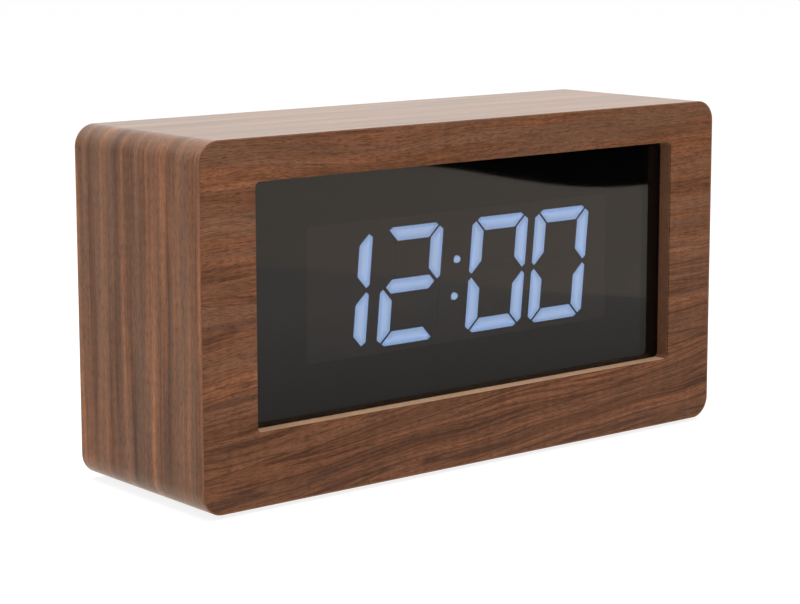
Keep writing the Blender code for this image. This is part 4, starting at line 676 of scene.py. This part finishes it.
def makeCellSleeve():
    # printed shrink sleeve on a steel can: a plain dark body, a grey band at the plus end,
    # bare plated steel at both ends. The two cells lie opposite ways.
    material, shader = newMaterial("printedShrinkSleeve")
    place = addNode(material, "TexCoord").outputs["Object"]
    split = addNode(material, "SeparateXYZ", {0: place})
    upper = addNode(material, "Math", {0: split.outputs["Z"], 1: cellSleeve["between"] * mm},
                    operation="GREATER_THAN")
    way = addNode(material, "MapRange", {"Value": upper.outputs[0], "To Min": -1.0, "To Max": 1.0})
    run = addNode(material, "Math", {0: split.outputs["X"], 1: way.outputs[0]}, operation="MULTIPLY")
    along = addNode(material, "MapRange", {"Value": run.outputs[0], "From Min": cellSleeve["ends"][0] * mm,
                                           "From Max": cellSleeve["ends"][1] * mm})
    tone = addNode(material, "ValToRGB", {"Fac": along.outputs[0]}, stops=cellSleeve["bands"])
    tone.color_ramp.interpolation = "CONSTANT"
    scuff = addNode(material, "TexNoise", {"Vector": place, "Scale": 1 / (cellSleeve["scuff"] * mm),
                                           "Detail": 4.0}).outputs["Fac"]
    rough = addNode(material, "MapRange", {"Value": scuff, "To Min": cellSleeve["rough"][0],
                                           "To Max": cellSleeve["rough"][1]})
    bump = addNode(material, "Bump", {"Strength": cellSleeve["relief"], "Height": scuff,
                                      "Distance": cellSleeve["depth"] * mm})
    wireShader(material, shader, tone.outputs["Color"], rough.outputs[0], bump.outputs[0])
    return material


# the nodes that show as they are, by finish
carriedOver = (
    (bareBoard, ("top_board", "bottom_board", "left_board", "right_board", "corner_block_lower_left",
                 "corner_block_lower_right", "corner_block_upper_left", "corner_block_upper_right")),
    (carrierAbs, ("display_carrier",)),
    (makeBoardLaminate(), ("led_board", "main_board")),
    (componentAbs, ("buzzer",)),
    (zincSteel, ("slide_switch", "carrier_screw_lower_left", "carrier_screw_lower_right",
                 "carrier_screw_upper_left", "carrier_screw_upper_right", "main_board_screw_left",
                 "main_board_screw_right")),
    (nickelSteel, ("battery_spring_upper", "battery_spring_lower", "contact_link", "contact_positive",
                   "contact_negative")),
    (makeCellSleeve(), ("battery_upper", "battery_lower")),
    (makeVinyl("ribbonVinylGrey", "#A2A5A9", "#B4B7BB"), ("ribbon_cable",)),
    (makeVinyl("leadVinylRed", "#A31B17", "#B92A22"), ("lead_positive",)),
    (makeVinyl("leadVinylBlack", "#1A1A1A", "#262626"), ("lead_negative",)),
)
for material, names in carriedOver:
    for name in names:
        dress(name, material)
print("hidden parts done")


# rear cover and battery door
rearCover = {"brokenEdge": (0.3, 2, 50)}
coverPiece = startCopy("rearCoverMoulding", "rear_cover")
breakEdges(coverPiece, *rearCover["brokenEdge"])
finish(coverPiece, "case", "rear_cover", "black_abs", coverAbs)

batteryDoor = {"brokenEdge": (0.12, 2, 50)}
doorPiece = startCopy("batteryDoorMoulding", "battery_door")
breakEdges(doorPiece, *batteryDoor["brokenEdge"])
finish(doorPiece, "battery_door", "battery_door", "black_abs", coverAbs)

# five push buttons: a flat rim, then steps in and down in mm to a dished middle
pushButton = {"rim": 0.7, "dish": ((0.5, 0.15), (1.0, 0.1)), "topWithin": 0.05}
for name in ("set_button", "alarm_button", "down_button", "up_button", "dimmer_button"):
    low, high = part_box(name)
    top = high.y - pushButton["topWithin"] * mm
    button = startCopy(name.replace("_button", "ButtonCap"), name)
    selectWhere(button, "FACE", lambda face: face.normal.y > 0.95 and face.calc_center_median().y > top)
    bpy.ops.mesh.inset(thickness=pushButton["rim"] * mm)
    for inwards, down in pushButton["dish"]:
        bpy.ops.mesh.inset(thickness=inwards * mm, depth=-down * mm)
    bpy.ops.object.mode_set(mode="OBJECT")
    finish(button, name, name, "black_abs", buttonAbs)

switchKnob = {"brokenEdge": (0.1, 2, 50)}
knobPiece = startCopy("alarmSwitchSlider", "alarm_switch_knob")
breakEdges(knobPiece, *switchKnob["brokenEdge"])
finish(knobPiece, "alarm_switch_knob", "alarm_switch_knob", "black_abs", buttonAbs)

# power socket: black shell with a bright metal pin down its middle, in mm
powerSocket = {"pinRadius": 1.2, "pinLength": 8.5}
socketPiece = startCopy("powerSocketShell", "power_socket")
finish(socketPiece, "case", "power_socket", "component_black", componentAbs, nickelSteel)
low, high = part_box("power_socket")
axis = (low + high) / 2
pinSpots = {vert.index for vert in socketPiece.data.vertices
            if math.hypot(vert.co.x - axis.x, vert.co.z - axis.z) < powerSocket["pinRadius"] * mm}
for face in socketPiece.data.polygons:
    if pinSpots.issuperset(face.vertices) and face.center.y > high.y - powerSocket["pinLength"] * mm:
        face.material_index = 1

# cover screws: a cross recess, turned in degrees as the driver left each, sizes in mm
coverScrew = {
    "slotWidth": 0.62, "slotLength": 3.2, "slotDepth": 0.9, "cutterReach": 1,
    "turns": {"lower_left": 12, "lower_right": 51, "upper_left": 33, "upper_right": 74},
}
for corner, turn in coverScrew["turns"].items():
    node = "cover_screw_" + corner
    low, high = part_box(node)
    x, z = (low.x + high.x) / 2, (low.z + high.z) / 2
    wide, long = coverScrew["slotWidth"] / 2 * mm, coverScrew["slotLength"] / 2 * mm
    screw = startCopy("coverScrew" + corner.title().replace("_", ""), node)
    for turned in (math.radians(turn), math.radians(turn) + math.pi / 2):
        cutter = startBlock("recess", (x - long, high.y - coverScrew["slotDepth"] * mm, z - wide),
                            (x + long, high.y + coverScrew["cutterReach"] * mm, z + wide))
        bpy.ops.object.mode_set(mode="EDIT")
        bpy.ops.mesh.select_all(action="SELECT")
        bpy.ops.transform.rotate(value=turned, orient_axis="Y", center_override=(x, high.y, z))
        bpy.ops.object.mode_set(mode="OBJECT")
        cutAway(screw, cutter)
    finish(screw, "case", node, "steel", zincSteel)

foot = {"brokenEdge": (0.15, 2, 30)}
for name in ("foot_front_left", "foot_front_right", "foot_rear_left", "foot_rear_right"):
    pad = startCopy(name.replace("foot_", "rubberFoot_"), name)
    breakEdges(pad, *foot["brokenEdge"])
    finish(pad, "case", name, "foot_rubber", rubber)
print("rear done")


# stage: a paper floor, seen directly as white, that still takes a part of the shadow
stage = {
    "floorTone": "#F4F4F3", "floorSize": 24,
    "shadowShare": 0.25, "paper": 0.84,
    "floorInGloss": (0.87, 0.77, 0.68, 1),   # what glosses see of the floor: a painted reflection, warmer than the floor seen directly
    "roomInGloss": (1, 0.975, 0.925, 1),     # and of the room, a little warmer than the white seen directly
    "skyLevel": 0.6,
    "cardTint": (1.0, 0.96, 0.91, 1),
    "cardHeight": 0.6,                       # mm above the floor
}

floorMaterial = bpy.data.materials.new("paleFloor")
floorMaterial.use_nodes = True
floorMaterial.node_tree.nodes.clear()
path = addNode(floorMaterial, "LightPath")
diffuse = addNode(floorMaterial, "BsdfDiffuse", {"Color": toLinear(stage["floorTone"])})
shadowed = addNode(floorMaterial, "BsdfDiffuse", {"Color": (*[stage["shadowShare"]] * 3, 1)})
paper = addNode(floorMaterial, "Emission", {"Color": (*[stage["paper"]] * 3, 1), "Strength": 1.0})
lit = addNode(floorMaterial, "AddShader", {0: shadowed.outputs[0], 1: paper.outputs[0]})
inGloss = addNode(floorMaterial, "Emission", {"Color": stage["floorInGloss"], "Strength": 1.0})
glossy = addNode(floorMaterial, "Math", {0: path.outputs["Is Glossy Ray"],
                                         1: path.outputs["Is Transmission Ray"]}, operation="MAXIMUM")
mixed = addNode(floorMaterial, "MixShader", {0: path.outputs["Is Camera Ray"], 1: diffuse.outputs[0],
                                             2: lit.outputs[0]})
mixed = addNode(floorMaterial, "MixShader", {0: glossy.outputs[0], 1: mixed.outputs[0],
                                             2: inGloss.outputs[0]})
addNode(floorMaterial, "OutputMaterial", {"Surface": mixed.outputs[0]})

deselectAll()
bpy.ops.mesh.primitive_plane_add(size=stage["floorSize"], location=(0, 0, 0))
floor = bpy.context.object
floor.name = "paleFloor"
floor.data.materials.append(floorMaterial)

# cards that only glosses see: the photographer's table edge, dark drop and pale wall
# a card's tone runs from the first to the second along its reach; corners are in metres
cards = {
    # the table top's tone falls towards the clock: painted shade of the clock on the table, seen only in
    # reflections
    "tableTop": {"tones": (0.42, 0.7), "axis": "Y", "reach": (-0.12, -0.32), "corners": (
        (-1.6, -1.2), (0.02, -0.75), (0.16, -0.50), (0.221, -0.433), (0.251, -0.371), (0.272, -0.292),
        (0.303, -0.24), (0.33, -0.17), (0.42, -0.06), (-1.6, -0.06))},
    "darkDrop": {"tones": (0.004, 0.004), "axis": "Y", "reach": (-0.12, -0.32), "corners": (
        (0.30, -6), (0.40, -1.30), (0.52, -0.92), (0.60, -0.784), (0.606, -0.742), (0.602, -0.70),
        (0.597, -0.66), (0.597, -0.624), (0.602, -0.60), (0.618, -0.582), (0.66, -0.575), (1.2, -0.56),
        (6, -0.3), (6, -6))},
    "darkFlag": {"tones": (0.004, 0.004), "axis": "Y", "reach": (-0.12, -0.32), "corners": (
        (0.5, -6, 0), (6, -0.5, 0), (6, -0.5, 3), (0.5, -6, 3))},
    "behindLeft": {"tones": (0.45, 0.45), "axis": "Y", "reach": (-0.12, -0.32), "corners": (
        (-6, -0.03), (-0.14, -0.03), (-0.14, 0.06), (0.3, 6), (-6, 6))},
    "behindFlag": {"tones": (0.45, 0.95), "axis": "Z", "reach": (0.3, 2.4), "corners": (
        (-6, 0, 0), (0.3, 6, 0), (0.3, 6, 2.4), (-6, 0, 2.4))},
}


def reflectionCard(name, card):
    deselectAll()
    bpy.ops.mesh.primitive_plane_add(size=1)
    piece = bpy.context.object
    piece.name = name
    shape = bmesh.new()
    shape.faces.new([shape.verts.new(corner if len(corner) == 3 else (*corner, stage["cardHeight"] * mm))
                     for corner in card["corners"]])
    shape.to_mesh(piece.data)
    shape.free()
    material = bpy.data.materials.new(name)
    material.use_nodes = True
    material.node_tree.nodes.clear()
    place = addNode(material, "TexCoord")
    split = addNode(material, "SeparateXYZ", {0: place.outputs["Object"]})
    level = addNode(material, "MapRange", {
        "Value": split.outputs[card["axis"]], "From Min": card["reach"][0], "From Max": card["reach"][1],
        "To Min": card["tones"][0], "To Max": card["tones"][1]})
    glow = addNode(material, "Emission", {"Color": stage["cardTint"], "Strength": level.outputs[0]})
    addNode(material, "OutputMaterial", {"Surface": glow.outputs[0]})
    piece.data.materials.append(material)
    piece.visible_camera = piece.visible_diffuse = piece.visible_shadow = False


for name, card in cards.items():
    reflectionCard(name, card)

world = bpy.data.worlds.new("softRoom")
bpy.context.scene.world = world
world.use_nodes = True
world.node_tree.nodes.clear()
path = addNode(world, "LightPath")
seen = addNode(world, "Math", {0: path.outputs["Is Camera Ray"], 1: path.outputs["Is Glossy Ray"]},
               operation="MAXIMUM")
seen = addNode(world, "Math", {0: seen.outputs[0], 1: path.outputs["Is Transmission Ray"]},
               operation="MAXIMUM")
level = addNode(world, "MapRange", {"Value": seen.outputs[0], "To Min": stage["skyLevel"], "To Max": 1.0})
paperTone = addNode(world, "Mix", {0: path.outputs["Is Glossy Ray"], 6: (1, 1, 1, 1),
                                   7: stage["roomInGloss"]}, data_type="RGBA")
sky = addNode(world, "Background", {"Color": paperTone.outputs[2], "Strength": level.outputs[0]})
addNode(world, "OutputWorld", {"Surface": sky.outputs[0]})

# two soft boxes, in metres and watts
softBoxes = {
    "topBox": {"place": (-0.1, -0.2, 1.15), "aim": (0, 0, 0.06), "size": (1.2, 1.0), "power": 20.0},
    "sideBox": {"place": (-1.15, 0.2, 0.5), "aim": (-0.05, 0, 0.07), "size": (0.7, 0.7), "power": 1.6},
}
for name, light in softBoxes.items():
    lamp = bpy.data.lights.new(name, "AREA")
    lamp.shape = "RECTANGLE"
    lamp.size, lamp.size_y = light["size"]
    lamp.energy = light["power"]
    box = bpy.data.objects.new(name, lamp)
    box.location = light["place"]
    box.rotation_euler = (Vector(light["aim"]) - Vector(light["place"])).to_track_quat("-Z", "Y").to_euler()
    box.visible_glossy = False
    bpy.context.scene.collection.objects.link(box)
print("stage done")
